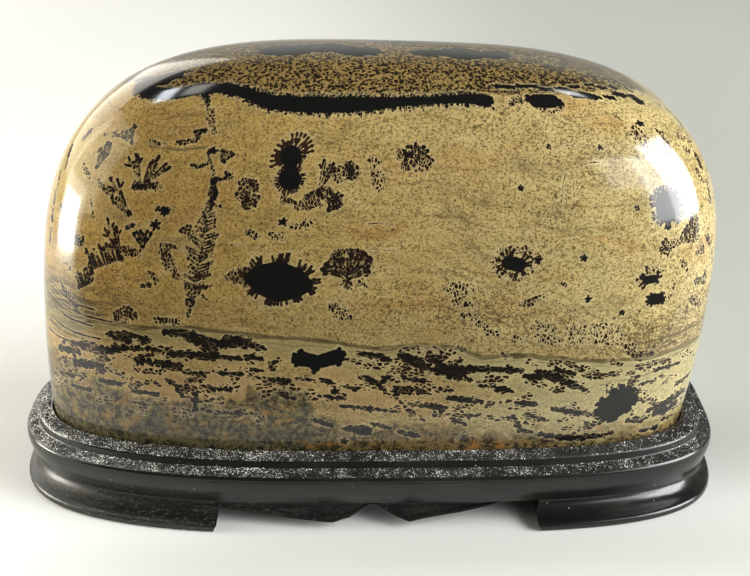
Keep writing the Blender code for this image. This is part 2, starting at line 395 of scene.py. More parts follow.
def thicket(pixels, radii, depth=0.14, tone=0.5):
    """A shallow patch along a path, which the material carves into packed lobes."""
    stamp(drawn_chain(*chain(pixels, radii, THICKET_STEP, 0.3)), 0.0, tone, floor=0.8 * depth)


def film(pixels, radii, tone=0.15, depth=0.34):
    """A film of ink along a path, nearly solid."""
    stamp(drawn_chain(*chain(pixels, radii, FILM_STEP, 0.35)), 0.0, tone, floor=depth)


def burst(pixels, radii, pitch=0.95, length=(0.9, 0.9), width=0.42, tone=0.25, gap=0.07):
    """A solid heart with petals, one every so many millimetres, of a length below and a length above."""
    places, radii = chain(pixels, radii, HEART_STEP)
    points = points_of(places)
    row, column = int(places[0][0]), int(places[0][1]) % COLUMNS
    run = points @ along[row, column] / 2 / column_step[row, column]
    rise = points @ upward[row, column] / row_step[row, column]
    turns = np.linspace(0, 2 * math.pi, 721)
    reach = np.outer(run, np.cos(turns)) + np.outer(rise, np.sin(turns)) + np.array(radii)[:, None]
    owner = reach.argmax(axis=0)
    rim = np.stack([run[owner] + radii[owner] * np.cos(turns), rise[owner] + radii[owner] * np.sin(turns)])
    path = np.concatenate([[0.0], np.cumsum(np.hypot(*np.diff(rim, axis=1)))])
    count = max(int(path[-1] / pitch), 5)
    rays = []
    for target in (np.arange(count) + draw.uniform(0.0, 0.5, count)) * path[-1] / count:
        found = int(np.searchsorted(path, target))
        turn = turns[found]
        inner = 0.75 * radii[owner[found]]
        root = moved(places[owner[found]], inner * math.cos(turn), inner * math.sin(turn))
        share = 0.5 + 0.5 * math.sin(turn)
        out = length[0] + (length[1] - length[0]) * share
        heading = turn + draw.normal(0, 0.15)
        petal_length = 0.25 * radii[owner[found]] + out * draw.uniform(0.7, 1.2)
        tip_radius = 1.15 * width * draw.uniform(0.85, 1.15)
        rays.append(petal(root, heading, petal_length, 0.85 * width, tip_radius))
    stamp(rays, gap, tone, carve=CRISP)
    stamp(drawn_chain(places, 0.96 * radii), 0.0, 0.0, carve=CRISP)


def ribs_from(roots, headings, length, width, tone, gap, thin=0.75):
    """Ribs with round ends, each with a bud on one side."""
    width = 1.12 * width
    rays = []
    for root, heading in zip(roots, headings):
        reach = length * draw.uniform(0.72, 1.08)
        rays.append(petal(root, heading, reach, thin * width, width * draw.uniform(0.9, 1.2)))
        if reach > 3 * width:
            bud = moved(root, 0.7 * reach * math.cos(heading), 0.7 * reach * math.sin(heading))
            rays.append(petal(bud, heading + draw.choice((-0.7, 0.7)), 0.2 * reach, 0.7 * width, 0.8 * width))
    stamp(rays, gap, tone, carve=CRISP)


def tuft(pixel, heading, spread, length, ribs, width=0.5, tone=0.3, gap=0.06, thin=0.75):
    """Ribs that spread from one root, where they are fused."""
    root = spot(*pixel)
    shares = [(i + 0.5) / ribs - 0.5 for i in range(ribs)]
    headings = [math.radians(heading + spread * share) + draw.normal(0, 0.03) for share in shares]
    ribs_from([root] * ribs, headings, length, width, tone, gap, thin)
    stamp([dot(root, 0.5 + 0.05 * length)], 0.0, tone)


def comb(pixels, heading, length, pitch=1.0, width=0.42, tone=0.3, gap=0.07):
    """Ribs that all rise the same way from a base line."""
    roots, _ = chain(pixels, (1.0,), pitch)
    headings = [math.radians(heading) + draw.normal(0, 0.08) for _ in roots]
    ribs_from(roots, headings, length, width, tone, gap)


def line(pixels, width, field=None, tone=0.6):
    """A thin drawn line."""
    stamp(drawn_chain(*chain(pixels, (width,), LINE_STEP, 0.35)), 0.0, tone, field, carve=CRISP)


def draw_marks(marks):
    """Draws marks in order. Each is a habit and what that habit takes, its pixels first."""
    for habit, *rest in marks:
        habit(*rest)


# %% [markdown]
# ## Strata
#
# The bedding runs through the whole block. A wavy olive-brown line crosses it at two fifths of its height,
# and most of the films of ink lie under that line. The line's height over the length is kept for the mesh,
# so the back and the ends show the same bed at the same height. The crown above the black band is thick
# with tiny dots, and its lower edge is kept in the same way.

# %% Strata that run through the whole block
MAIN_LINE = (
    (103, 321), (143, 327), (191, 327), (239, 333), (275, 337), (311, 339), (375, 348), (423, 344),
    (456, 347), (483, 357), (518, 354), (578, 360), (614, 360), (650, 357), (674, 348), (698, 336),
)
line_points = points_of([spot(*pixel) for pixel in MAIN_LINE])
below = np.interp(sheet[..., 0], line_points[:, 0], line_points[:, 2]) - sheet[..., 2]

CROWN_EDGE = (
    (100, 92), (137, 78), (160, 92), (230, 90), (330, 103), (430, 102), (490, 92), (540, 96), (600, 90),
    (640, 88), (690, 110),
)
mirrored = sheet * (1, -1, 1)
mirrored[..., 1] = -np.abs(sheet[..., 1])
edge_across, edge_down = picture_place(mirrored)
crown_edge = np.array(CROWN_EDGE)
crown = np.interp(edge_across, crown_edge[:, 0], crown_edge[:, 1]) - edge_down
print("the main line lies", line_points[:, 2].min().round(1), "to", line_points[:, 2].max().round(1), "mm up")

# %% [markdown]
# ## The crown
#
# A black band runs under the crown like a shoreline, with a fringe of spikes along both edges, and breaks
# up to the right into rings and round drops.

# %% The black band and its drops
BAND = (
    (139, 84, 2.0), (150, 93, 3.0), (175, 94, 2.6), (200, 89, 2.6), (225, 88, 2.3), (250, 94, 2.4),
    (268, 102, 2.9), (300, 104, 3.2), (335, 105, 3.2), (370, 104, 3.0), (395, 102, 2.6), (423, 101, 2.0),
    (450, 99, 1.6), (475, 99, 2.0), (486, 101, 2.6),
)


def fringed_band(pixels, spike=1.0, pitch=0.85):
    """A band through pixels with a half width in millimetres at each, and a fringe of spikes."""
    stems, widths = chain([(x, y) for x, y, _ in pixels], [r for _, _, r in pixels], pitch)
    strokes = path_strokes(stems, list(0.86 * widths * draw.uniform(0.92, 1.08, len(stems))))
    for place, width in zip(stems, widths):
        for way in (-1, 1):
            root = moved(place, 0, way * 0.6 * width)
            heading = way * 0.5 * math.pi + draw.normal(0, 0.3)
            reach = 0.4 * width + spike * draw.uniform(0.1, 1.0)
            strokes.append(petal(root, heading, reach, 0.42, draw.uniform(0.2, 0.34)))
    for i in range(0, len(strokes), 60):
        stamp(strokes[i:i + 61], 0.0, 0.0)


fringed_band(BAND)
BAND_DRIP = ((204, 92, 1.6), (208, 98, 0.9), (208, 106, 0.5))
BAND_MARKS = (
    (film, ((134, 80), (145, 78), (155, 80)), (1.2, 1.8, 1.2), 0.0),
    (fringed_band, BAND_DRIP, 0.5),
    (thicket, ((211, 110), (212, 122), (214, 132)), (0.9, 1.1, 0.6), 0.06, 0.9),
)
draw_marks(BAND_MARKS)

DROPS = (
    ((537, 101), (551, 101), 2.6), ((576, 95), (583, 95), 1.4), ((591, 97), (595, 97), 1.3),
    ((560, 89), (566, 90), 1.0), ((617, 94), (622, 95), 1.3), ((633, 97), (639, 101), 1.4),
    ((497, 86), (510, 87), 0.8), ((519, 86), (535, 86), 0.7), ((599, 87), (603, 88), 0.9),
    ((588, 85), (592, 85), 0.7), ((608, 97), (612, 98), 0.8), ((572, 87), (578, 87), 0.7),
    ((611, 86), (616, 88), 0.8), ((543, 89), (549, 89), 0.7), ((626, 88), (631, 91), 0.7),
)
for start, end, radius in DROPS:
    burst([start, end], (radius,), 1.3, (0.35, 0.35), 0.4, 0.1, 0.0)

# The rings that the band breaks up into, and the spray at its far end.
RING_MARKS = (
    (thicket, ((511, 104), (516, 97), (522, 101)), (0.9,), 0.2, 0.2),
    (thicket, ((530, 99), (536, 108), (552, 112), (562, 107)), (0.5,), 0.1, 0.6),
    (tuft, (634, 100), -35, 120, 3.4, 5, 0.45, 0.3),
)
draw_marks(RING_MARKS)


# Pools of ink lie on the flat top: their middles and half sizes, in millimetres across and back.
POOLS_ABOVE_Z = 120
POOL_WANDER = 0.35
TOP_PATCHES = (
    (-24, -5, 10, 5.5), (-12, -3, 10, 5), (-3, -6, 8, 5), (30, -5, 9, 6), (19, -6, 6, 4), (40, -4, 5, 5),
    (-62, -14, 8, 3), (8, 12, 12, 7), (-30, 16, 9, 6),
)
wander = np.sin(sheet[..., 0] * 1.3 + 2 * np.sin(sheet[..., 1])) + np.sin(sheet[..., 1] * 1.7 + sheet[..., 0])
for x, y, a, b in TOP_PATCHES:
    reach = np.hypot((sheet[..., 0] - x) / a, (sheet[..., 1] - y) / b)
    patch = (reach - 1) * min(a, b) + POOL_WANDER * wander
    ink[:] = np.where(sheet[..., 2] > POOLS_ABOVE_Z, np.minimum(ink, np.clip(patch, -FAR, FAR)), ink)
print("band and crown drawn")

# %% [markdown]
# ## The face
#
# Bursts, tufts and thickets float on the plain upper face. Their places and sizes are read off the picture,
# and their strokes grow by the habits above.

# %% Bursts
# The largest burst has fine short petals close together and longer ones between them.
SUN_HEART = ((252, 279), (264, 280), (279, 282), (294, 283), (304, 285))
SUN_RADII = (2.2, 5.2, 6.6, 5.4, 2.8)
LARGE_BURSTS = (
    (burst, SUN_HEART, SUN_RADII, 0.78, (1.0, 1.0), 0.22, 0.3, 0.0),
    (burst, SUN_HEART, SUN_RADII, 0.98, (1.1, 2.4), 0.35, 0.4, 0.0),
    (burst, ((291, 156),), (3.3,), 0.78, (0.9, 1.3), 0.27, 0.3, 0.0),
    (burst, ((290, 179),), (3.4,), 0.74, (1.1, 1.1), 0.26, 0.3, 0.0),
    (film, ((291, 160), (290, 172)), (1.9,), 0.0, 1.0),
)
draw_marks(LARGE_BURSTS)

# Loose beads lie in two rings, a little narrower than high, over the upper of the two tall bursts.
BEAD_CENTRE = (292, 157)
BEAD_RINGS = (4.6, 6.4)
BEAD_SHARE = 0.9
for i in range(15):
    turn = math.radians(205 - 13.5 * i)
    for ring in BEAD_RINGS:
        if draw.random() < BEAD_SHARE:
            bead = moved(spot(*BEAD_CENTRE), 0.78 * ring * math.cos(turn), ring * math.sin(turn))
            stamp([petal(bead, turn, 0.9, 0.35, 0.5)], 0.0, 0.8, carve=CRISP)

# The rosette with its two thickets, and the other bursts that stand alone.
SOLID_MARKS = (
    (thicket, ((495, 261), (501, 254), (512, 251), (526, 251), (538, 258)), (1.4,), 0.03, 0.9),
    (thicket, ((498, 270), (508, 276), (520, 277), (531, 271)), (1.3,), 0.03, 0.9),
    (burst, ((509, 263), (519, 265)), (2.3,), 1.1, (1.5, 1.7), 0.38, 0.3, 0.0),
    (burst, ((667, 203), (668, 210)), (4.0, 4.1), 0.8, (1.5, 1.5), 0.36, 0.1, 0.2),
    (burst, ((647, 280), (654, 279)), (1.5,), 1.2, (0.5, 1.0), 0.5),
    (burst, ((653, 299), (659, 299)), (1.9,), 1.1, (0.5, 0.4), 0.4),
    (burst, ((155, 225),), (1.0,), 1.0, (0.5, 0.5), 0.42),
    (burst, ((165, 211),), (1.2,), 1.0, (0.15, 0.15), 0.4),
    (burst, ((302, 359), (318, 362), (336, 357)), (2.7, 2.4, 2.7), 1.4, (0.15, 0.15), 0.6, 0.0, 0.0),
    (film, ((313, 365), (314, 372)), (1.2, 0.7), 0.0, 1.0),
    (burst, ((612, 408), (620, 402)), (5.0, 5.2), 1.1, (0.3, 1.0), 0.5, 0.0, 0.0),
)
draw_marks(SOLID_MARKS)

# Small specks with short petals, and their radii in millimetres.
SMALL_HEARTS = (
    (538, 260, 1.1), (584, 258, 0.8), (637, 208, 0.4), (521, 188, 0.45), (283, 222, 1.2), (213, 151, 1.2),
    (204, 131, 0.8), (588, 299, 0.9), (622, 313, 0.6), (582, 369, 1.0), (335, 391, 1.2), (344, 441, 1.1),
    (190, 380, 0.6), (158, 209, 0.45), (143, 286, 0.5), (149, 285, 0.5), (640, 124, 1.2), (548, 147, 0.4),
    (600, 148, 0.5), (330, 209, 0.45), (338, 206, 0.4), (128, 228, 0.45), (133, 225, 0.3),
)
for x, y, radius in SMALL_HEARTS:
    burst([(x, y)], (0.8 * radius,), 1.1, (0.3, 0.3), 0.36)

# %% Thickets on the face
THICKETS = (
    (((402, 156), (415, 158), (428, 162)), (1.8, 2.6, 1.8), 0.10),
    (((405, 166), (424, 168)), (1.4, 1.2), 0.08), (((369, 160), (378, 163)), (1.4, 1.0), 0.0),
    (((378, 177), (379, 188)), (1.7, 1.3), 0.08), (((284, 200), (292, 201)), (1.2, 1.0), 0.2),
    (((296, 206), (303, 208)), (0.9, 0.9), 0.18), (((308, 199), (322, 190)), (1.3, 0.9), 0.25),
    (((305, 207), (320, 202)), (1.1, 1.0), 0.2), (((327, 195), (336, 203)), (2.2, 2.0), 0.22),
    (((294, 227), (300, 226)), (0.6, 0.7), 0.2), (((305, 224), (310, 223)), (0.7, 0.6), 0.1),
    (((248, 233), (256, 236)), (0.9, 0.8), 0.12),
    (((270, 233), (276, 236), (283, 239)), (0.8, 1.2, 0.7), 0.15),
    (((340, 174), (350, 171)), (2.0, 2.4), 0.2), (((333, 309), (346, 312)), (1.5, 1.2), 0.12),
    (((337, 316), (349, 317)), (1.0, 0.9), 0.02), (((346, 281), (350, 286)), (1.2, 1.0), 0.02),
    (((360, 283), (366, 286)), (1.0, 0.6), 0.06),
    (((450, 288), (460, 291), (470, 289)), (2.2, 2.6, 1.6), 0.0),
    (((456, 303), (472, 305)), (1.4, 1.4), 0.0), (((462, 315), (474, 315)), (1.0, 0.8), -0.02),
    (((523, 303), (533, 302)), (1.4, 1.2), 0.1), (((536, 298), (547, 297)), (0.9, 0.8), 0.06),
    (((560, 284), (566, 285)), (0.5, 0.5), 0.1), (((474, 322), (486, 326)), (1.2, 0.9), 0.0),
    (((484, 332), (498, 334)), (0.9, 0.8), 0.0), (((513, 339), (525, 339)), (1.2, 0.9), 0.02),
    (((535, 325), (552, 328)), (1.8, 1.4), -0.02), (((538, 338), (556, 340)), (1.4, 1.2), 0.0),
    (((575, 328), (612, 330)), (3.2, 3.0), -0.10), (((570, 342), (620, 340)), (2.2, 2.2), -0.10),
    (((245, 184), (256, 188)), (1.6, 1.3), 0.25), (((243, 196), (246, 205)), (1.9, 1.3), 0.22),
    (((250, 198), (258, 198)), (0.9, 0.7), 0.2), (((636, 132), (644, 142)), (1.8, 1.9), 0.06),
    (((659, 131), (664, 138)), (1.0, 0.8), 0.06), (((666, 144), (670, 152)), (1.2, 1.0), 0.16),
    (((680, 240), (694, 236)), (1.5, 2.0), 0.18), (((692, 212), (695, 230)), (1.2, 1.8), 0.2),
    (((664, 249), (676, 243)), (1.9, 1.6), 0.16), (((696, 252), (702, 250)), (1.2, 1.2), 0.2),
    (((640, 279), (644, 285)), (1.3, 1.3), 0.06), (((646, 268), (658, 272)), (1.0, 1.2), 0.06),
    (((682, 263), (686, 268)), (1.1, 1.0), 0.1), (((667, 302), (674, 288)), (0.6, 0.7), 0.0),
    (((696, 281), (704, 279)), (1.2, 1.6), 0.2), (((690, 298), (698, 302)), (1.4, 1.4), 0.05),
    (((120, 317), (133, 316)), (1.9, 1.8), 0.14), (((158, 320), (176, 322)), (1.0, 0.9), 0.06),
    (((203, 297), (206, 299)), (0.6, 0.5), 0.1), (((657, 104), (668, 110)), (0.9, 0.9), 0.06),
    (((671, 112), (682, 126)), (1.0, 1.2), 0.08), (((676, 135), (690, 140)), (0.9, 1.1), 0.02),
    (((684, 148), (690, 152)), (0.9, 0.8), 0.06), (((694, 152), (701, 166)), (1.0, 1.2), 0.22),
    (((697, 170), (703, 182)), (0.9, 1.0), 0.2), (((707, 182), (710, 200)), (1.0, 1.0), 0.2),
    (((706, 234), (710, 244)), (1.2, 1.0), 0.2), (((712, 248), (712, 262)), (0.8, 0.8), 0.1),
    (((706, 268), (703, 276)), (0.8, 1.2), 0.12), (((152, 142), (163, 144)), (0.8, 0.7), 0.06),
    (((176, 143), (190, 142), (198, 138)), (0.7, 1.0, 0.8), 0.22),
    (((107, 133), (116, 134)), (0.9, 0.9), -0.04), (((84, 138), (90, 131)), (1.0, 0.9), 0.2),
    (((84, 165), (89, 176)), (1.0, 0.9), 0.08),
    (((99, 183), (112, 196), (127, 212)), (1.1, 1.3, 1.1), 0.16),
    (((122, 249), (138, 254)), (1.3, 1.5), 0.14),
    (((163, 246), (168, 262), (176, 276)), (1.4, 1.5, 1.2), 0.16),
    (((168, 244), (177, 249)), (0.7, 0.7), 0.2), (((149, 272), (156, 279)), (0.7, 1.1), 0.2),
    (((69, 155), (65, 168)), (0.9, 0.7), 0.14), (((61, 205), (64, 216)), (1.0, 0.7), 0.14),
    (((66, 232), (80, 240)), (1.6, 1.4), 0.0), (((61, 284), (70, 297), (79, 311)), (0.9, 1.1, 0.9), 0.12),
    (((60, 172), (58, 186)), (0.8, 0.7), 0.15), (((91, 195), (93, 218)), (0.5, 0.5), 0.05),
    (((56, 190), (54, 203)), (0.8, 0.8), 0.3), (((53, 210), (52, 221)), (0.7, 0.7), 0.3),
    (((51, 229), (50, 241)), (0.8, 0.7), 0.3), (((72, 146), (69, 153)), (0.7, 0.8), 0.3),
    (((228, 277), (238, 276), (250, 279)), (1.0, 2.0, 2.6), 0.14),
    (((66, 262), (70, 272)), (0.6, 0.6), 0.05),
)
for pixels, radii, depth in THICKETS:
    thicket(pixels, radii, depth, draw.uniform(0.2, 0.8))

# %% Tufts and combs
TUFTS = (
    (141, 187, 128, 22, 11.5, 4, 0.52), (143, 186, 82, 26, 9.0, 4, 0.5), (148, 181, 50, 30, 6.5, 3, 0.45),
    (129, 213, 133, 14, 13.0, 3, 0.5), (121, 258, 117, 24, 12.6, 5, 0.46),
    (142, 247, 98, 80, 5.2, 6, 0.5), (132, 142, 146, 56, 7.0, 6, 0.42), (197, 138, 112, 60, 3.4, 3, 0.5),
    (97, 167, 95, 54, 7.6, 6, 0.5), (319, 191, 76, 34, 8.6, 6, 0.48), (346, 173, 40, 150, 3.0, 6, 0.46),
    (224, 161, 88, 100, 3.0, 5, 0.46), (330, 199, -25, 150, 3.6, 7, 0.4),
    (309, 201, 205, 60, 2.6, 3, 0.46), (248, 187, 20, 120, 2.8, 5, 0.46), (246, 201, 10, 90, 3.6, 4, 0.5),
    (416, 160, 90, 200, 4.6, 11, 0.5), (126, 317, 90, 190, 3.4, 8, 0.46),
    (348, 282, 250, 120, 2.2, 5, 0.3), (332, 309, 60, 140, 2.0, 5, 0.4),
    (189, 234, 130, 100, 2.8, 5, 0.45), (688, 236, 120, 140, 3.0, 5, 0.5),
    (670, 246, 190, 160, 3.0, 6, 0.46), (156, 186, 0, 30, 1.6, 2, 0.4),
)
for x, y, heading, spread, length, ribs, width in TUFTS:
    tuft((x, y), heading, spread, length, ribs, width, draw.uniform(0.1, 0.5))
COMBS = (
    (((93, 269), (121, 259)), 117, 6.2), (((80, 285), (94, 274)), 122, 3.6),
    (((78, 289), (92, 282)), 80, 1.6), (((134, 187), (156, 188)), 100, 1.8),
    (((160, 322), (176, 323)), 90, 1.4), (((63, 240), (80, 246)), 80, 3.0),
)
for pixels, heading, length in COMBS:
    comb(pixels, heading, length)
COMB_ROOT = ((134, 187), (156, 188))
thicket(COMB_ROOT, (0.9, 0.6), 0.3, 0.1)

# The half moon: ribs spread from a stalk and their ends merge into a thick rim.
HALF_MOON = (
    (tuft, (348, 280), 90, 142, 8.6, 12, 0.74, 0.35, 0.08, 0.2),
    (thicket, ((329, 262), (336, 254), (349, 251), (362, 254), (370, 260)), (0.9, 1.0, 0.8, 1.1, 1.0), 0.3),
    (thicket, ((345, 270), (346, 281)), (0.8, 0.8), 0.2),
)
draw_marks(HALF_MOON)

# %% [markdown]
# ## The fern
#
# The tall one at the left grew upwards from a crack: a fir-shaped lower part whose twigs rise on both
# sides, a bare neck, and a few round buds on top. Its stem runs through all of it.

# %% The fern
FERN_STEM = (
    (208, 153), (211, 164), (214, 172), (213, 185), (212, 199), (208, 212), (205, 228), (203, 245),
    (199, 262), (195, 280), (191, 300), (188, 317),
)
fern = resampled([spot(*pixel) for pixel in FERN_STEM], 1.05)
FERN_SHARES = (0.0, 0.12, 0.2, 0.28, 0.31, 0.38, 0.48, 0.56, 0.66, 0.72, 0.8, 0.86, 0.93, 1.0)
FERN_REACHES = (0.3, 0.3, 0.9, 0.5, 1.6, 2.2, 3.6, 5.2, 5.2, 3.6, 3.8, 2.0, 1.6, 0.3)
fern_reach = np.interp(np.linspace(0, 1, len(fern)), FERN_SHARES, FERN_REACHES)
twigs = []
for place, reach in zip(fern, fern_reach):
    for way in (-1, 1):
        heading = math.radians(90 - way * draw.uniform(48, 70))
        length = reach * draw.uniform(0.55, 1.1)
        twigs.append(petal(tuple(place), heading, length, 0.22, draw.uniform(0.3, 0.42)))
        if length > 2.0:
            bud = moved(tuple(place), 0.8 * length * math.cos(heading), 0.8 * length * math.sin(heading))
            twigs.append(petal(bud, heading - 0.9 * way, 0.7, 0.26, 0.36))
stamp(twigs, 0.1, 0.15, carve=CRISP)
stamp(path_strokes([tuple(place) for place in fern], [0.32] * len(fern)), 0.0, 0.1)
FERN_BUDS = (
    (film, ((213, 180), (213, 198)), (1.2, 1.3), 0.1),
    (film, ((214, 178), (222, 180), (229, 175)), (0.8, 0.6, 0.8), 0.1),
    (film, ((192, 165), (198, 167), (207, 165)), (0.6, 0.45, 0.6), 0.2),
    (thicket, ((224, 154), (224, 161)), (1.6, 0.9), 0.2, 0.2),
    (thicket, ((226, 172), (230, 176)), (0.8, 0.8), 0.2, 0.2),
    (film, ((212, 203), (222, 207)), (0.4, 0.3), 0.3),
    (film, ((197, 276), (210, 275)), (0.8, 0.5), 0.8),
    (film, ((198, 289), (210, 286)), (0.7, 0.45), 0.6),
    (thicket, ((187, 288), (196, 292)), (0.8, 1.0), 0.2, 0.3),
)
draw_marks(FERN_BUDS)
print("face drawn")

# %% [markdown]
# ## Films along the bedding
#
# Under the main line the ink spread along the bedding in flat films. They are drawn with a half height in
# millimetres at each end, and thickets of loose lobes lie between them.

# %% Films under the line
FILMS = (
    (((107, 334), (136, 336)), (0.6, 1.7, 1.0)), (((141, 339), (147, 339)), (0.9, 0.9)),
    (((165, 332), (185, 333), (205, 338), (224, 343)), (1.0, 1.3, 1.1, 0.6)),
    (((186, 339), (205, 343), (240, 346)), (0.9, 1.3, 0.8)),
    (((226, 338), (245, 342), (263, 348)), (1.2, 1.6, 0.7)), (((97, 350), (119, 350)), (1.2, 0.9)),
    (((116, 347), (140, 349), (168, 349)), (1.1, 0.9, 0.6)),
    (((171, 353), (200, 356), (238, 358)), (1.3, 1.6, 1.0)), (((61, 348), (78, 351)), (1.2, 1.1)),
    (((76, 362), (102, 366)), (1.6, 1.2)), (((138, 360), (144, 361)), (1.5, 1.2)),
    (((149, 362), (152, 364)), (1.2, 1.0)), (((157, 363), (179, 366)), (1.6, 1.2)),
    (((184, 373), (203, 373)), (0.6, 0.6)), (((218, 373), (240, 374)), (0.8, 0.9)),
    (((165, 379), (174, 384), (182, 396)), (0.6, 1.0, 0.8)), (((155, 383), (160, 386)), (0.7, 0.6)),
    (((207, 387), (230, 390)), (0.6, 0.9)), (((134, 391), (157, 394)), (1.0, 1.0)),
    (((196, 393), (196, 409)), (0.9, 0.8)), (((361, 354), (378, 356), (391, 361)), (1.3, 1.5, 0.8)),
    (((402, 356), (415, 362), (433, 371)), (1.6, 2.0, 1.1)),
    (((441, 369), (452, 371), (461, 372)), (2.2, 2.8, 2.0)),
    (((470, 369), (495, 369), (522, 371)), (1.4, 1.5, 1.0)), (((524, 376), (540, 378)), (1.0, 1.0)),
    (((538, 372), (555, 377), (570, 384), (584, 389)), (1.4, 1.6, 1.5, 0.8)),
    (((556, 369), (575, 374)), (0.9, 0.8)), (((270, 380), (289, 381)), (1.0, 1.1)),
    (((321, 379), (330, 382)), (0.9, 0.9)), (((346, 387), (355, 389)), (1.1, 0.9)),
    (((366, 377), (377, 384), (389, 395)), (0.8, 1.1, 0.6)), (((388, 377), (378, 385)), (0.9, 0.7)),
    (((398, 390), (415, 391), (430, 394)), (1.4, 1.2, 0.5)),
    (((448, 398), (465, 400), (482, 402)), (1.0, 1.5, 0.8)), (((426, 405), (445, 409)), (0.9, 1.1)),
    (((341, 406), (370, 409), (399, 412)), (0.6, 1.0, 0.6)), (((348, 429), (366, 431)), (1.7, 1.8)),
    (((469, 417), (481, 414)), (0.6, 0.5)), (((517, 403), (535, 404)), (0.9, 0.9)),
    (((513, 416), (520, 428)), (0.8, 1.0)), (((526, 414), (547, 421)), (0.6, 0.8)),
    (((553, 409), (579, 413)), (0.9, 1.0)), (((584, 427), (592, 428)), (0.5, 0.5)),
    (((541, 434), (552, 436)), (1.1, 1.1)), (((649, 410), (662, 404), (683, 390)), (1.2, 1.7, 0.9)),
    (((628, 421), (641, 421)), (0.9, 0.9)), (((60, 372), (74, 376)), (0.8, 0.8)),
    (((246, 356), (262, 359)), (0.8, 0.7)), (((250, 369), (262, 371)), (0.6, 0.6)),
    (((404, 378), (425, 381)), (0.6, 0.7)), (((300, 378), (310, 380)), (0.5, 0.6)),
    (((590, 377), (600, 378)), (0.6, 0.5)), (((655, 370), (680, 362)), (0.7, 0.6)),
    (((640, 384), (655, 380)), (0.6, 0.6)), (((100, 380), (120, 384)), (0.8, 0.8)),
    (((72, 385), (90, 390)), (0.7, 0.9)), (((440, 390), (452, 391)), (0.6, 0.6)),
    (((495, 390), (512, 391)), (0.6, 0.7)), (((660, 420), (672, 415)), (0.7, 0.6)),
    (((600, 436), (612, 432)), (0.6, 0.8)), (((556, 437), (575, 438), (598, 436)), (0.9, 1.3, 1.1)),
    (((640, 431), (656, 427)), (0.8, 0.9)), (((655, 413), (667, 409), (676, 402)), (1.2, 1.5, 1.0)),
    (((676, 384), (690, 372)), (0.9, 0.7)), (((480, 386), (505, 388)), (0.8, 0.7)),
    (((432, 360), (441, 364)), (1.2, 1.2)), (((455, 378), (470, 380)), (0.9, 0.7)),
    (((330, 397), (345, 399)), (0.7, 0.8)), (((520, 430), (532, 432)), (0.9, 0.8)),
    (((455, 421), (466, 424)), (0.8, 0.7)), (((372, 424), (390, 428)), (0.8, 0.9)),
    (((400, 432), (418, 436)), (0.9, 1.0)), (((312, 420), (330, 425)), (0.8, 0.8)),
)
for pixels, radii in FILMS:
    film(pixels, radii)

# A few spikes stand on the round burst at the lower right.
FIRST_SPIKE = (607, 393)
for i in range(6):
    root = spot(FIRST_SPIKE[0] + 4 * i, FIRST_SPIKE[1])
    stamp([petal(root, math.radians(105 - 12 * i), 3.2, 0.5, 0.25)], 0.0, 0.0)

UNDER_THICKETS = (
    ((60, 340, 105, 380), 20), ((100, 338, 260, 372), 46), ((90, 372, 260, 420), 40),
    ((255, 360, 350, 400), 16), ((350, 348, 520, 390), 34), ((390, 388, 560, 425), 30),
    ((520, 362, 600, 395), 16), ((560, 395, 600, 440), 10), ((630, 340, 695, 425), 30),
    ((600, 362, 650, 384), 8),
)
for (left, top, far, low), count in UNDER_THICKETS:
    for _ in range(count):
        x, y = draw.uniform(left, far), draw.uniform(top, low)
        half = draw.uniform(1, 9)
        lean = draw.normal(0, 1.5) - 0.12 * half * (x > 640)
        radius, depth = draw.uniform(0.5, 1.1), draw.uniform(-0.05, 0.25)
        thicket([(x - half, y - lean), (x + half, y + lean)], (radius,), depth, 0.5)
print("films drawn")

# %% Thin lines
THIN_LINES = (
    ((368, 224), (378, 223), (393, 225)), ((370, 249), (385, 250), (398, 251)), ((230, 244), (245, 244)),
    ((525, 412), (535, 409), (548, 414)), ((561, 203), (563, 183), (566, 172)),
    ((575, 168), (588, 163), (600, 162)), ((573, 180), (574, 200)), ((560, 147), (578, 144), (595, 146)),
    ((370, 164), (373, 178)), ((480, 430), (490, 426), (502, 431), (510, 438)),
    ((456, 440), (464, 431), (475, 436)),
)
LEFT_STRATA = (
    ((45, 258), (50, 276), (60, 292), (76, 304), (95, 310)),
    ((46, 274), (53, 292), (66, 306), (86, 316), (112, 322)),
    ((46, 290), (55, 306), (70, 318), (92, 326)), ((47, 308), (57, 321), (74, 332), (100, 339)),
    ((48, 326), (60, 337), (80, 344), (96, 347)),
)
for pixels in LEFT_STRATA:
    line(pixels, 0.3, tone=0.2)
for pixels in THIN_LINES:
    line(pixels, 0.15)
VEINS = (
    (MAIN_LINE, 0.42), (((515, 357), (530, 356), (550, 357), (565, 359)), 0.7),
    (((555, 439), (580, 436), (610, 442)), 0.4), (((48, 290), (56, 305), (72, 322), (103, 321)), 0.4),
    (((620, 346), (650, 342), (680, 331), (704, 318)), 0.25), (((50, 318), (62, 330), (80, 338)), 0.4),
    (((630, 372), (660, 362), (690, 345)), 0.25), (((600, 385), (640, 376), (680, 360)), 0.22),
    (((110, 92), (128, 112), (160, 127), (200, 127)), 0.12), (((150, 146), (180, 150), (208, 147)), 0.4),
    (((560, 205), (600, 207), (640, 204)), 0.14), (((590, 175), (620, 173)), 0.14),
)
for pixels, width in VEINS:
    line(pixels, width, vein)

# %% [markdown]
# ## The back and the ends
#
# The other side of the block was never seen here, but the same beds run through it, so it gets the same
# families in the same layers: a band under the crown, loose bursts and thickets above the line, and films
# below it. They are drawn by chance from one seed and a little larger, which suits a coarser mesh.

# %% The back
BACK_COLUMNS = (-300, 320)


def scatter(rows, columns, run, rise, radius, depth, tone):
    """One stroke-shaped patch at a place drawn by chance on the sheet."""
    place = (draw.uniform(*rows), draw.uniform(*columns))
    end = moved(place, run, rise)
    stamp([(*place, *end, radius, radius * draw.uniform(0.7, 1.1))], 0.0, tone, floor=depth)
    return place


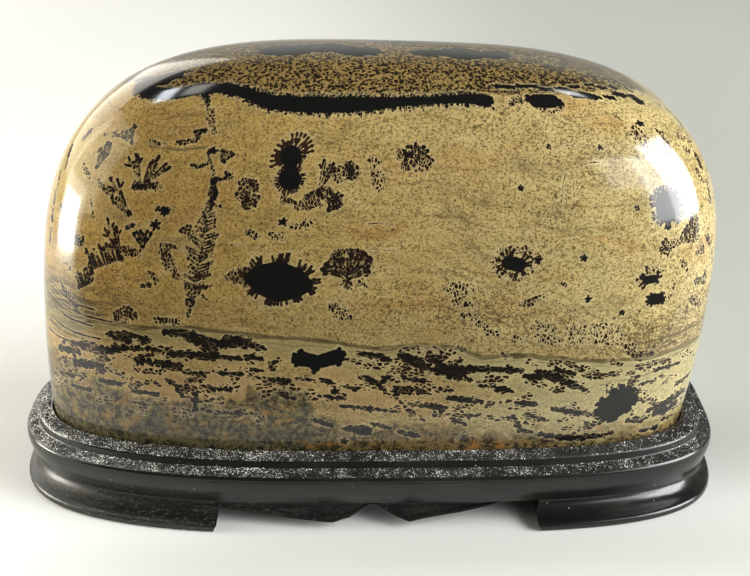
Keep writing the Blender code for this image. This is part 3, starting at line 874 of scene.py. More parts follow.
line_row = {column: int(np.argmin(np.abs(below[:300, column % COLUMNS]))) for column in range(*BACK_COLUMNS)}
band_row = int(np.abs(sheet[:, 0, 2] - 131).argmin())
band_columns = range(-250, 200, 22)
stems = [(band_row + 5 * math.sin(column / 37) + draw.normal(0, 1), column) for column in band_columns]
stamp(path_strokes(stems, list(draw.uniform(1.0, 3.2, len(stems)))), 0.0, 0.0)
for _ in range(60):
    column = int(draw.integers(*BACK_COLUMNS))
    rows = (line_row[column] + 14, 300)
    half = draw.uniform(1.0, 2.8)
    run, rise = draw.uniform(-4, 4), draw.uniform(-3, 3)
    place = scatter(rows, (column, column), run, rise, half, draw.uniform(0, 0.25), 0.4)
    if draw.random() < 0.2:
        turns = np.arange(0, 6.2, 1.6 / (half + 1))
        petals = [petal(place, turn, 1.5 * half + 1, 0.5, 0.6) for turn in turns]
        stamp(petals, 0.2, 0.2)
        stamp([dot(place, 1.2 * half)], 0.0, 0.0)
for _ in range(110):
    column = int(draw.integers(*BACK_COLUMNS))
    rows = (max(line_row[column] - 92, 26), line_row[column] - 6)
    run, rise = draw.uniform(2, 11), draw.normal(0, 1)
    scatter(rows, (column, column), run, rise, draw.uniform(0.7, 1.6), draw.choice((0.1, FAR)), 0.2)
print("back drawn")

# %% [markdown]
# ## The stone's mesh
#
# A mesh as fine as the sheet everywhere would hold half a million faces, nearly all of them on plain
# stone. A quadtree spends faces only where they are needed: a coarse cell is split in four as long as an
# outline of ink runs through it. Cells of different sizes meet without cracks, because a coarse cell takes
# the corners of its fine neighbours into its own outline. The exact normals of the surface go with the
# mesh, so the polish shows no facets.

# %% Cells that follow the ink
# A cell is split where its corners reach within NEAR_INK of an outline and differ by more than FLAT, in
# millimetres. Behind, cells stay BACK_FINEST steps across or more.
COARSE = 8
NEAR_INK = 0.05
FLAT = 0.05
BACK_FINEST = 2

outline = {size: np.zeros((ROWS // size, COLUMNS // size), bool) for size in (1, 2, 4, 8)}
for field in (ink, vein):
    wrapped = np.concatenate([field, field[:, :1]], axis=1)
    corners = [wrapped[:-1, :-1], wrapped[1:, :-1], wrapped[:-1, 1:], wrapped[1:, 1:]]
    lowest = np.minimum.reduce(corners)
    highest = np.maximum.reduce(corners)
    for size in (2, 4, 8):
        shape = (ROWS // size, 2, COLUMNS // size, 2)
        lowest = lowest.reshape(shape).min(axis=(1, 3))
        highest = highest.reshape(shape).max(axis=(1, 3))
        outline[size] |= (lowest < NEAR_INK) & (highest > -NEAR_INK) & (highest - lowest > FLAT)
seen = facing[:-1].reshape(ROWS // COARSE, COARSE, COLUMNS // COARSE, COARSE).any(axis=(1, 3))
hidden = ~np.repeat(np.repeat(seen, COARSE // BACK_FINEST, axis=0), COARSE // BACK_FINEST, axis=1)
outline[BACK_FINEST] &= ~hidden

cells = []
used = np.zeros((ROWS + 1, COLUMNS), bool)
whole = np.ones((ROWS // COARSE, COLUMNS // COARSE), bool)
size = COARSE
while size:
    keep = whole & ~outline[size]
    for row, column in np.argwhere(keep) * size:
        cells.append((row, column, size))
    for row in (0, size):
        for column in (0, size):
            places = np.argwhere(keep) * size + (row, column)
            used[places[:, 0], places[:, 1] % COLUMNS] = True
    whole = np.repeat(np.repeat(whole & outline[size], 2, axis=0), 2, axis=1)
    size //= 2
used[ROWS] = False
vertex_at = np.full(used.shape, -1)
vertex_at[used] = np.arange(used.sum())
vertex_at[ROWS] = used.sum()


def side(row, column, row_step_sign, column_step_sign, size):
    """Vertices along one side of a cell, from its first corner up to the next one."""
    found = []
    for i in range(size):
        vertex = vertex_at[row + i * row_step_sign, (column + i * column_step_sign) % COLUMNS]
        if vertex >= 0 and (not found or found[-1] != vertex):
            found.append(int(vertex))
    return found


faces = []
for row, column, size in cells:
    face = side(row, column, 0, 1, size) + side(row, column + size, 1, 0, size)
    face += side(row + size, column + size, 0, -1, size) + side(row + size, column, -1, 0, size)
    face = [vertex for vertex, before in zip(face, face[-1:] + face) if vertex != before]
    faces.append(face)
faces.append([int(vertex) for vertex in vertex_at[0] if vertex >= 0][::-1])

stone_mesh = bpy.data.meshes.new("polished_jasper")
points = np.concatenate([sheet[used], sheet[ROWS].mean(axis=0)[None]])
stone_mesh.from_pydata((points * MM).tolist(), [], faces)
stone_mesh.shade_smooth()
stone_mesh.normals_split_custom_set_from_vertices(np.concatenate([normals[used], [[0, 0, 1]]]).tolist())


def keep_on_mesh(name, field):
    """Stores a field of the sheet on the mesh's vertices, where the material can read it."""
    values = np.concatenate([field[used], [field[ROWS].mean()]])
    stone_mesh.attributes.new(name, "FLOAT", "POINT").data.foreach_set("value", values.astype(np.float32))


kept = {"ink": ink, "brown": brown, "carving": carving, "vein": vein, "below": below, "crown": crown}
for name, field in kept.items():
    keep_on_mesh(name, field)
stone = bpy.data.objects.new("polished_jasper", stone_mesh)
bpy.context.scene.collection.objects.link(stone)
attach(stone, "root")
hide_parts("jasper_stone")
triangles = sum(len(face) - 2 for face in faces)
print("stone:", len(faces), "faces,", triangles, "triangles")

# %% [markdown]
# ## A bench for materials
#
# A material is a small graph of nodes. Written out node by node it is hard to read, so two helpers turn it
# into sums. A Wire stands for one output of a node, and Python's operators on it add Math nodes. A Bench
# adds any other node from its type, its settings, and what goes into its sockets.

# %% Wires and the bench
class Wire:
    """One output of a node. Sums with it add Math nodes."""

    def __init__(self, bench, socket):
        self.bench = bench
        self.socket = socket

    def sum(self, operation, first, second):
        return self.bench.node("Math", {"operation": operation}, {0: first, 1: second})

    def __add__(self, other):
        return self.sum("ADD", self, other)

    def __radd__(self, other):
        return self.sum("ADD", other, self)

    def __sub__(self, other):
        return self.sum("SUBTRACT", self, other)

    def __rsub__(self, other):
        return self.sum("SUBTRACT", other, self)

    def __mul__(self, other):
        return self.sum("MULTIPLY", self, other)

    def __rmul__(self, other):
        return self.sum("MULTIPLY", other, self)

    def __abs__(self):
        return self.sum("ABSOLUTE", self, 0.0)


class Bench:
    """A new material, its Principled shader, and the places on the thing in millimetres."""

    def __init__(self, name, **fixed):
        self.material = bpy.data.materials.new(name)
        self.material.use_nodes = True
        self.tree = self.material.node_tree
        self.shader = self.tree.nodes["Principled BSDF"]
        for socket, value in fixed.items():
            self.shader.inputs[socket.replace("_", " ")].default_value = value
        place = self.node("TexCoord", {}, {}, "Object")
        self.place = self.node("VectorMath", {"operation": "MULTIPLY"}, {0: place, 1: (1 / MM,) * 3})

    def node(self, kind, settings, sockets, output=None):
        """Adds a node by its type, settings and sockets, and returns one of its outputs as a Wire."""
        prefix = "ShaderNodeTex" if kind in ("Noise", "Voronoi") else "ShaderNode"
        node = self.tree.nodes.new(prefix + kind)
        for name, value in settings.items():
            setattr(node, name, value)
        for key, value in sockets.items():
            if isinstance(key, int):
                socket = node.inputs[key]
            else:
                socket = next(s for s in node.inputs if s.name == key and s.enabled)
            if isinstance(value, Wire):
                self.tree.links.new(value.socket, socket)
            elif socket.type == "RGBA" and len(value) == 3:
                socket.default_value = (*value, 1.0)
            else:
                socket.default_value = value
        outputs = [s for s in node.outputs if s.enabled and output in (None, s.name)]
        return Wire(self, outputs[0])

    def field(self, name):
        """A field that the mesh carries."""
        return self.node("Attribute", {"attribute_name": name}, {}, "Fac")

    def parts(self, vector):
        """The three parts of a vector."""
        return [self.node("SeparateXYZ", {}, {0: vector}, axis) for axis in "XYZ"]

    def scaled(self, place, size, stretch=(1.0, 1.0, 1.0), shift=0.0):
        """A place measured in blotches of so many millimetres, drawn out by the stretch."""
        scale = tuple(1.0 / (size * s) for s in stretch)
        return self.node("VectorMath", {"operation": "MULTIPLY_ADD"}, {0: place, 1: scale, 2: (shift,) * 3})

    def noise(self, size, detail=2.0, stretch=(1.0, 1.0, 1.0), roughness=0.5, shift=0.0, place=None):
        """Noise from 0 to 1 whose blotches are about so many millimetres across, times the stretch."""
        place = self.scaled(place or self.place, size, stretch, shift)
        sockets = {"Vector": place, "Scale": 1.0, "Detail": detail, "Roughness": roughness}
        return self.node("Noise", {}, sockets)

    def step(self, value, low, high):
        """Rises smoothly from 0 at low to 1 at high."""
        return self.node("MapRange", {"interpolation_type": "SMOOTHSTEP"},
                         {"Value": value, "From Min": low, "From Max": high})

    def mix(self, share, first, second):
        """Mixes two colours, by the share of the second."""
        return self.node("Mix", {"data_type": "RGBA"}, {"Factor": share, "A": first, "B": second})

    def cells(self, place, output, feature="F1"):
        """One output of a Voronoi pattern whose cells are about one unit across."""
        return self.node("Voronoi", {"feature": feature}, {"Vector": place, "Scale": 1.0}, output)

    def luck(self, place):
        """A number from 0 to 1 by chance, the same all over a cell."""
        return self.parts(self.cells(place, "Color"))[0]

    def dots(self, place, pitch, size, spread, shift=0.0):
        """Round dots, one to a cell, each with its own size."""
        place = self.scaled(place, pitch, shift=shift)
        own_size = size + spread * (self.luck(place) - 0.5)
        return self.step(self.cells(place, "Distance") - own_size, 0.05, -0.05)

    def pushed(self, size, reach):
        """Places pushed aside by noise, so that what is drawn at them has a ragged outline."""
        push = self.node("Noise", {}, {"Vector": self.scaled(self.place, size), "Scale": 1.0}, "Color")
        sockets = {0: push, 1: (reach,) * 3, 2: self.place}
        return self.node("VectorMath", {"operation": "MULTIPLY_ADD"}, sockets)

    def feed(self, socket, wire):
        """Leads a wire to a socket of the shader."""
        self.tree.links.new(wire.socket, self.shader.inputs[socket])


# %% [markdown]
# ## Jasper
#
# Jasper is chalcedony full of clay and iron. Its ground is an opaque golden tan that runs paler and cooler
# to the right, with brown bedding that follows the main line. The fields on the mesh say how far below
# that line a place lies, how deep it is in the crown, and how far it is from any ink, and the material adds
# all that is finer than the mesh: grain, bedding, specks, the crown's dots and the mossy foot.
#
# A polish on stone is one thing all over, so the roughness is a single number with the faintest wave in it.

# %% Ground and bedding
jasper = Bench("polished_jasper", IOR=1.54)
LEFT_TAN = (0.41, 0.262, 0.060)
RIGHT_TAN = (0.475, 0.385, 0.160)
WARM_TAN = (0.40, 0.205, 0.045)
GREY_TAN = (0.24, 0.19, 0.085)
BROWN_EARTH = (0.13, 0.08, 0.03)
PALE_CLOUD = (0.60, 0.47, 0.22)
PALE_GRAIN = (0.66, 0.53, 0.29)
PAINTED_LIGHT_TAN = (0.70, 0.57, 0.30)
HAIR_BROWN = (0.06, 0.04, 0.018)
END_BEDS = (0.030, 0.021, 0.011)
STREAK_BROWN = (0.07, 0.052, 0.026)

x_mm, y_mm, z_mm = jasper.parts(jasper.place)
below_line = jasper.field("below")
in_crown = jasper.field("crown")
waver = jasper.noise(14.0, 2.0) - 0.5
bed = jasper.node("CombineXYZ", {}, {0: x_mm, 1: y_mm, 2: below_line + 5.0 * waver})

cloud = jasper.noise(38.0, 3.0)
ground = jasper.mix(jasper.step(x_mm + 70.0 * (cloud - 0.5), -85.0, 95.0), LEFT_TAN, RIGHT_TAN)
warm = jasper.step(jasper.noise(9.0, 3.0, (3.0, 3.0, 1.0), shift=11.0, place=bed), 0.5, 0.72)
ground = jasper.mix(warm * 0.5, ground, WARM_TAN)
cool = jasper.step(jasper.noise(7.0, 3.0, (3.5, 3.5, 1.0), shift=37.0, place=bed), 0.52, 0.75)
ground = jasper.mix(cool * 0.45, ground, GREY_TAN)
ground = jasper.mix(jasper.step(below_line, -17.0, -1.0) * 0.38, ground, GREY_TAN)
beds = jasper.noise(1.5, 5.0, (24.0, 24.0, 1.0), 0.62, place=bed)
ground = jasper.mix(jasper.step(beds, 0.53, 0.72) * 0.5, ground, BROWN_EARTH)
mottle = jasper.noise(5.0, 4.0, (1.6, 1.6, 1.0), 0.6, shift=41.0, place=bed)
ground = jasper.mix(jasper.step(mottle, 0.5, 0.8) * 0.6, ground, BROWN_EARTH)
ground = jasper.mix(jasper.step(mottle, 0.5, 0.25) * 0.35, ground, PALE_CLOUD)
hair = jasper.noise(3.4, 4.0, (9.0, 9.0, 1.0), 0.6, shift=5.0, place=bed)
near_line = jasper.step(abs(below_line + 1.0), 16.0, 4.0) * jasper.step(abs(x_mm - 5.0), 62.0, 95.0)
ends = jasper.noise(2.1, 3.0, (12.0, 12.0, 1.0), shift=63.0, place=bed)
hair_mask = jasper.step(jasper.noise(11.0, 1.0, shift=3.0) + 0.3 * near_line, 0.5, 0.62)
hairline = jasper.step(abs(hair - 0.5), 0.014 + 0.02 * near_line, 0.003) * hair_mask
ground = jasper.mix(hairline * (0.5 + 0.4 * near_line), ground, HAIR_BROWN)
left_beds = jasper.step(x_mm, -72.0, -98.0) * jasper.step(abs(below_line + 1.0), 13.0, 6.0)
ground = jasper.mix(jasper.step(abs(ends - 0.5), 0.085, 0.045) * left_beds, ground, END_BEDS)
streak = jasper.noise(0.8, 3.0, (11.0, 11.0, 1.0), 0.6, shift=51.0, place=bed)
ground = jasper.mix(jasper.step(streak, 0.54, 0.62) * near_line * 0.85, ground, STREAK_BROWN)
grain = jasper.noise(0.62, 3.0, (1.3, 1.3, 1.0), 0.8)
ground = jasper.mix(jasper.step(grain, 0.46, 0.64) * 0.9, ground, BROWN_EARTH)
ground = jasper.mix(jasper.step(grain, 0.5, 0.25) * 0.3, ground, PALE_GRAIN)

# Painted light: the upper left end is painted paler, as the light from the left falls there.
painted_light_left_end = jasper.step(x_mm, -66.0, -98.0) * jasper.step(below_line, -22.0, -52.0)
ground = jasper.mix(painted_light_left_end * 0.6, ground, PAINTED_LIGHT_TAN)

# %% Specks
ragged = jasper.pushed(1.6, 1.6)
SPECK = (0.05, 0.03, 0.012)
sown = jasper.noise(16.0, 2.0, (1.6, 1.6, 1.0), shift=21.0)
over_line = jasper.step(abs(below_line + 9.0), 13.0, 4.0)
density = sown + 0.0020 * x_mm + (0.16 + 0.16 * jasper.step(x_mm, 0.0, 60.0)) * over_line
fine = jasper.dots(ragged, 0.72, density * 0.66 - 0.18, 0.5)
coarse = jasper.dots(jasper.place, 2.7, density * 0.34 - 0.12, 0.24, shift=7.3)
ground = jasper.mix(fine * 0.66, ground, SPECK)
ground = jasper.mix(coarse * 0.7, ground, SPECK)

# %% [markdown]
# Under the main line the ground turns olive and then pinkish, and at the foot of the block it breaks up
# into a mossy tangle of grey, green and ochre, with black threads that outline pebbles. The tangle stands
# high at the left and low at the right.

# %% Under the line
OLIVE = (0.29, 0.245, 0.11)
PINKISH = (0.40, 0.265, 0.120)
PALE_GREEN = (0.36, 0.33, 0.165)
MOSS_DARK = (0.018, 0.017, 0.009)
MOSS_GREY = (0.110, 0.098, 0.044)
MOSS_OCHRE = (0.23, 0.135, 0.036)
RUST = (0.30, 0.135, 0.03)
MOSS_SLATE = (0.06, 0.062, 0.045)
FOOT_DARK = (0.085, 0.078, 0.040)
FOOT_RUSTY = (0.165, 0.108, 0.038)

under = jasper.step(below_line, -0.4, 0.6)
ground = jasper.mix(under * jasper.step(below_line, 13.0, 1.0) * 0.55, ground, OLIVE)
ground = jasper.mix(under * jasper.step(x_mm, 5.0, 60.0) * 0.45, ground, PALE_GREEN)
pink_noise = jasper.noise(13.0, 2.0, (1.6, 1.6, 1.0), shift=9.0)
pink = jasper.step(below_line, 4.0, 12.0) * jasper.step(pink_noise, 0.4, 0.6)
ground = jasper.mix(pink * jasper.step(x_mm, 40.0, -30.0) * 0.7, ground, PINKISH)

tangle_top = 16.5 + 9.0 * jasper.step(x_mm, -100.0, -72.0) + 4.0 * jasper.step(x_mm, -20.0, -5.0)
tangle_top = tangle_top - 7.5 * jasper.step(abs(x_mm + 28.0), 12.0, 8.0)
moss_noise = jasper.noise(5.5, 4.0, roughness=0.62, shift=2.0)
moss = jasper.step(below_line - tangle_top + 16.0 * (moss_noise - 0.5), -2.2, 1.0)
moss_fine = jasper.noise(1.9, 5.0, roughness=0.72, shift=4.0)
moss_blotch = jasper.noise(3.6, 3.0, (1.5, 1.5, 1.0), roughness=0.65, shift=14.0)
moss_colour = jasper.mix(jasper.step(moss_fine, 0.42, 0.57), MOSS_DARK, MOSS_GREY)
moss_colour = jasper.mix(jasper.step(moss_blotch, 0.5, 0.64) * 0.8, moss_colour, MOSS_OCHRE)
moss_colour = jasper.mix(jasper.step(moss_blotch, 0.46, 0.36) * 0.6, moss_colour, MOSS_SLATE)
ground = jasper.mix(moss * (0.66 + 0.32 * jasper.step(moss_fine, 0.6, 0.4)), ground, moss_colour)
foot = jasper.step(z_mm + 16.0 * (moss_blotch - 0.5), 35.0, 26.0)
foot_colour = jasper.mix(jasper.step(x_mm + 30.0 * (moss_noise - 0.5), -22.0, -2.0), FOOT_DARK, FOOT_RUSTY)
foot_colour = jasper.mix(jasper.step(moss_fine, 0.52, 0.42), foot_colour, MOSS_DARK)
ground = jasper.mix(foot * 0.72, ground, foot_colour)

rust = jasper.step(jasper.noise(4.5, 3.0, (1.6, 1.6, 1.0), shift=31.0), 0.6, 0.7)
rust = rust * jasper.step(below_line, 18.0, 26.0) * jasper.step(x_mm, -70.0, -5.0)
ground = jasper.mix(rust * 0.8, ground, RUST)

threads = jasper.cells(jasper.scaled(jasper.pushed(3.0, 4.2), 3.1), "Distance", "DISTANCE_TO_EDGE")
thread = jasper.step(threads, 0.07, 0.025) * jasper.step(below_line - tangle_top, -4.0, 2.0)
thread_mask = jasper.step(jasper.noise(9.0, 1.0, shift=17.0), 0.42, 0.55)
ground = jasper.mix(thread * thread_mask * 0.85, ground, MOSS_DARK)

# %% [markdown]
# The last layers are the line itself, the crown's gold with its dots, the veins, and over all of them the
# ink. The mesh says how far a place lies from the ink's outline. The material then carves that outline
# along the edges of small cells, so a shallow patch falls apart into packed lobes with pale gaps, as the
# real films do. Ribs and petals are carved much less. A thin pale rim lies round all ink.

# %% Crown, veins and ink
CROWN_GOLD = (0.255, 0.168, 0.052)
CROWN_DOT = (0.016, 0.010, 0.005)
VEIN_OLIVE = (0.115, 0.088, 0.036)
VEIN_DARK = (0.050, 0.036, 0.016)
INK_BLACK = (0.004, 0.004, 0.0035)
INK_BROWN = (0.034, 0.014, 0.006)
PALE_RIM = (0.60, 0.49, 0.26)
LOBE_SIZE = 1.2
FLAT_LOBE_SIZE = 1.15
CROWN_BROWN = (0.17, 0.115, 0.035)

line_waver = jasper.noise(7.0, 3.0, shift=23.0) - 0.5
line_band = jasper.step(abs(below_line - 0.6 + 2.4 * line_waver), 0.62, 0.12)
ground = jasper.mix(line_band * (0.5 + 0.5 * jasper.noise(8.0, 2.0, shift=29.0)), ground, VEIN_DARK)
second_band = jasper.step(abs(below_line - 2.2 - 2.0 * line_waver), 0.4, 0.1)
ground = jasper.mix(second_band * 0.4, ground, VEIN_OLIVE)
crown_share = jasper.step(in_crown + 7.0 * (jasper.noise(4.0, 3.0, shift=8.0) - 0.5), -3.0, 1.5)
crown_gold = jasper.mix(jasper.step(x_mm, -10.0, 80.0) * 0.5, CROWN_GOLD, CROWN_BROWN)
ground = jasper.mix(crown_share * 0.85, ground, crown_gold)
crown_size = 0.41 + 0.16 * jasper.noise(7.0, 2.0, shift=6.0) + 0.10 * jasper.step(x_mm, 0.0, 90.0)
crown_dots = jasper.dots(ragged, 1.0, crown_size, 0.36, shift=2.2)
dust_dots = jasper.dots(jasper.place, 0.62, 0.36, 0.4, shift=5.2) * jasper.step(in_crown, 4.0, 14.0)
ground = jasper.mix(crown_share * dust_dots * 0.75, ground, CROWN_DOT)
ground = jasper.mix(crown_share * crown_dots, ground, CROWN_DOT)

vein_edge = jasper.field("vein") + 0.55 * (jasper.noise(1.4, 3.0, (2.0, 2.0, 1.0)) - 0.5)
vein_mask = jasper.step(vein_edge, 0.28, -0.22)
vein_core = jasper.step(vein_edge, 0.05, -0.25) * jasper.step(jasper.noise(5.0, 2.0, shift=12.0), 0.45, 0.6)
ground = jasper.mix(vein_mask * 0.8, ground, VEIN_OLIVE)
ground = jasper.mix(vein_core * 0.7, ground, VEIN_DARK)

upright_lobes = jasper.scaled(ragged, LOBE_SIZE, (0.8, 1.0, 1.3))
flat_lobes = jasper.scaled(bed, FLAT_LOBE_SIZE, (1.7, 1.5, 1.0))
lobe_choice = {"Factor": under, "A": upright_lobes, "B": flat_lobes}
lobe_place = jasper.node("Mix", {"data_type": "VECTOR"}, lobe_choice)
lobe = jasper.cells(lobe_place, "Distance", "DISTANCE_TO_EDGE")
lobe_luck = jasper.luck(lobe_place)
carved = 1.9 * (0.13 - lobe) + 0.3 * (lobe_luck - 0.5) + 0.24 * (jasper.noise(0.6, 2.0) - 0.5)
ink_edge = jasper.field("ink") + carved * jasper.field("carving")
rim = jasper.step(ink_edge, 0.75, 0.25)
ground = jasper.mix(rim * 0.28, ground, PALE_RIM)
wet = jasper.step(ink_edge, 0.075, -0.075)
outer = jasper.step(ink_edge, -1.1, -0.25)
ink_colour = jasper.mix(jasper.field("brown") * (0.25 + 0.75 * outer), INK_BLACK, INK_BROWN)
colour = jasper.mix(wet, ground, ink_colour)
jasper.feed("Base Color", colour)
jasper.feed("Roughness", 0.085 + 0.05 * jasper.noise(9.0, 3.0, shift=19.0))
stone_mesh.materials.append(jasper.material)
print("jasper:", len(jasper.tree.nodes), "nodes")

# %% [markdown]
# ## The carved stand
#
# The stand is carved from one piece of wood: a board with a sunk seat, two bands of punched grain, a step
# and an undercut edge, and below it two feet and two leaf-shaped aprons. Every one of its edges follows
# the same plan, so each shape here is a section swept round that plan. The punched bands are the one part
# that needs a very fine mesh, because each grain stands up and catches the light, so the sweep is four
# times as fine there and opens out again above and below.

# %% Sizes of the stand, in millimetres
STAND_HALF = (115.0, 52.33)
SEAT_GAP = 0.35
SEAT_FLOOR_Z = 14.0
STAND_COLUMNS = 384
GRAIN_SHARE = 4
GRAIN_STEP = 0.36
GRAIN_HEIGHT = 0.19
GRAIN_SEED = 5
BEND_SHARE = 0.35
SHARP_ANGLE = math.radians(38)


def stand_point(turn, inset, z, flare=0.0):
    """Points of the stand, inset from its plan and let out by flare along the front and back."""
    x, y = plan(turn, *STAND_HALF)
    power = np.where(x < 0, LEFT_POWER, RIGHT_POWER)
    normal_x = np.sign(x) * np.abs(x / STAND_HALF[0]) ** (power - 1) / STAND_HALF[0]
    normal_y = np.sign(y) * np.abs(y / STAND_HALF[1]) ** (power - 1) / STAND_HALF[1]
    size = np.hypot(normal_x, normal_y)
    inward = inset - flare * (normal_y / size) ** 2
    return np.stack([x - inward * normal_x / size, y - inward * normal_y / size, np.full_like(x, z)], axis=-1)


def rounded(corner, before, after, radius, steps=4):
    """Points of a rounded corner of a section, between the points before and after it."""
    corner, before, after = (np.array(point, dtype=float) for point in (corner, before, after))
    start = corner + (before - corner) / np.linalg.norm(before - corner) * radius
    end = corner + (after - corner) / np.linalg.norm(after - corner) * radius
    share = np.linspace(0, 1, steps + 1)[:, None]
    curve = start * (1 - share) ** 2 + 2 * corner * share * (1 - share) + end * share**2
    return [tuple(point) for point in curve]


stand_vertices = []
stand_faces = []


def sweep(rows, loop=True):
    """Adds rows of points to the stand and joins them with quads."""
    starts = []
    for row in rows:
        starts.append(len(stand_vertices))
        stand_vertices.extend(row)
    count = len(rows[0])
    for low, high in zip(starts, starts[1:]):
        for i in range(count if loop else count - 1):
            j = (i + 1) % count
            stand_faces.append((low + i, low + j, high + j, high + i))
    return starts


# %% The board
SEAT_EDGE = (8.8, 23.45)
RIM_EDGE = (4.3, 22.4)
STEP_FOOT = (4.15, 19.75)
FLANGE_EDGE = (0.0, 18.15)
FLANGE_FOOT = (0.1, 17.05)
UNDERCUT_TOP_Z = 16.6
UNDERCUT_DEPTH = 2.5
UNDERSIDE_Z = 8.1
EDGE_ROUND = 0.5
SEAT_WALL_SHORT = 0.4
RIM_FOOT = (4.2, 20.5)
RIM_ROUND = 0.75
STEP_ROUND = 0.35
FLANGE_ROUND = 1.0
UNDERCUT_POWER = 1.6
UNDERCUT_ROWS = 9
UNDERSIDE_INSET = 9.0
RIM_BAND_DROP = (0.3, 0.07)
FLANGE_BAND_DROP = (0.1, 0.05)

stand_turns = even_turns(0.0, 2 * math.pi, STAND_COLUMNS + 1, *STAND_HALF, BEND_SHARE)[:-1]
fine_turns = np.interp(np.arange(STAND_COLUMNS * GRAIN_SHARE) / GRAIN_SHARE, np.arange(STAND_COLUMNS + 1),
                       np.append(stand_turns, 2 * math.pi))
grain = np.random.default_rng(GRAIN_SEED)


def plain_rows(section):
    return [stand_point(stand_turns, inset, z) for inset, z in section]


def punched_rows(top, foot):
    """Rows of a punched band, each point lifted by its own grain."""
    steps = round(math.dist(top, foot) / GRAIN_STEP)
    lift_inset = (foot[1] - top[1]) / math.dist(top, foot)
    lift_z = (top[0] - foot[0]) / math.dist(top, foot)
    rows = []
    for i in range(steps + 1):
        share = i / steps
        inset = top[0] + (foot[0] - top[0]) * share
        z = top[1] + (foot[1] - top[1]) * share
        row = stand_point(fine_turns, inset, z)
        if 0 < i < steps:
            lift = GRAIN_HEIGHT * (grain.random(len(fine_turns)) ** 2 * 2 - 0.9)
            out = row - stand_point(fine_turns, inset + lift_inset, z + lift_z)
            row = row - out * lift[:, None]
        rows.append(row)
    return rows


def bridge(coarse_start, fine_start, fine_above):
    """Joins a plain row to the edge of a punched band that has several points for each of its own."""
    fine_count = STAND_COLUMNS * GRAIN_SHARE
    for i in range(STAND_COLUMNS):
        j = (i + 1) % STAND_COLUMNS
        edge = [fine_start + (i * GRAIN_SHARE + k) % fine_count for k in range(GRAIN_SHARE + 1)]
        face = [coarse_start + j, coarse_start + i] + edge
        stand_faces.append(tuple(face) if fine_above else tuple(reversed(face)))


seat_wall = []
for z in (SEAT_EDGE[1] - SEAT_WALL_SHORT, SEAT_FLOOR_Z):
    x, y = plan(stand_turns, SHOW_HALF[0] + SEAT_GAP, SHOW_HALF[1] + SEAT_GAP)
    seat_wall.append(np.stack([x + CENTRE_X, y, np.full_like(x, z)], axis=-1))
undercut_fall = UNDERCUT_TOP_Z - UNDERSIDE_Z - EDGE_ROUND
undercut = []
for share in np.linspace(0, 1, UNDERCUT_ROWS):
    undercut.append((UNDERCUT_DEPTH * share**UNDERCUT_POWER, UNDERCUT_TOP_Z - undercut_fall * share))

rim_corner = rounded(RIM_EDGE, SEAT_EDGE, RIM_FOOT, RIM_ROUND)
step_corner = rounded(STEP_FOOT, RIM_EDGE, FLANGE_EDGE, STEP_ROUND)
flange_corner = rounded(FLANGE_EDGE, STEP_FOOT, FLANGE_FOOT, FLANGE_ROUND)
under_side = (UNDERSIDE_INSET, UNDERSIDE_Z)
under_corner = rounded((UNDERCUT_DEPTH, UNDERSIDE_Z), undercut[-2], under_side, EDGE_ROUND)
rim_band_top = (SEAT_EDGE[0] - RIM_BAND_DROP[0], SEAT_EDGE[1] - RIM_BAND_DROP[1])
flange_band_top = (step_corner[-1][0] - FLANGE_BAND_DROP[0], step_corner[-1][1] - FLANGE_BAND_DROP[1])

top_rows = seat_wall[::-1] + plain_rows([SEAT_EDGE])
top_starts = sweep(top_rows[::-1])
rim_starts = sweep(punched_rows(rim_band_top, rim_corner[0])[::-1])
step_starts = sweep(plain_rows(rim_corner[1:] + step_corner)[::-1])
flange_starts = sweep(punched_rows(flange_band_top, flange_corner[0])[::-1])
low_starts = sweep(plain_rows(flange_corner[1:] + [FLANGE_FOOT] + undercut[:-1] + under_corner)[::-1])
bridge(top_starts[0], rim_starts[-1], False)
bridge(step_starts[-1], rim_starts[0], True)
bridge(step_starts[0], flange_starts[-1], False)
bridge(low_starts[-1], flange_starts[0], True)
stand_faces.append(tuple(range(low_starts[0] + STAND_COLUMNS - 1, low_starts[0] - 1, -1)))
stand_faces.append(tuple(range(top_starts[-1], top_starts[-1] + STAND_COLUMNS)))
print("board:", len(stand_vertices), "points")

# %% [markdown]
# ## Feet and aprons
#
# A foot wraps each end. Its face is a cove, a quarter hollow that flares out to a rounded lip on the table.
# Between the feet hangs an apron cut to two leaf-shaped lobes, with a bead along its lower edge. They are
# swept round the same plan, and each is closed on its own and runs up into the board.

# %% Feet and aprons
COVE_TOP = (4.1, 7.5)
COVE_FOOT = (-0.1, 2.6)
COVE_FULLNESS = 0.96
COVE_FLARE = 0.93
COVE_ROWS = 13
LIP_REACH = 0.6
LIP_ROUND = 1.3
LIP_FLATNESS = 0.6
FOOT_COLUMNS = 150
FOOT_BEND_SHARE = 0.2
FRONT_FLARE = 2.41
FOOT_THICKNESS = 13.0
FOOT_ENDS = (-49.0, 54.3)
FOOT_END_BULGE = 1.3
JOIN_Z = 9.2
APRON_JOIN_Z = 8.8
APRON_SET_BACK = 0.4
APRON_THICKNESS = 7.0
APRON_EDGE = (
    (-53.0, 5.3), (-37.6, 4.4), (-24.9, 3.5), (-15.4, 3.0), (-11.3, 2.9), (-6.0, 3.6), (-2.8, 4.8),
    (1.0, 6.6), (5.1, 5.0), (8.5, 3.7), (12.6, 2.9), (17.7, 3.4), (28.8, 4.4), (37.8, 5.7), (44.8, 7.3),
    (51.0, 8.5),
)


def cove(z):
    """Inset and flare of the feet's face at a height."""
    drop = np.clip((COVE_TOP[1] - z) / (COVE_TOP[1] - COVE_FOOT[1]), 0.0, 1.0)
    share = (1 - np.sqrt(1 - COVE_FULLNESS * drop * drop)) / (1 - math.sqrt(1 - COVE_FULLNESS))
    return COVE_TOP[0] + (COVE_FOOT[0] - COVE_TOP[0]) * share, FRONT_FLARE * COVE_FLARE * share


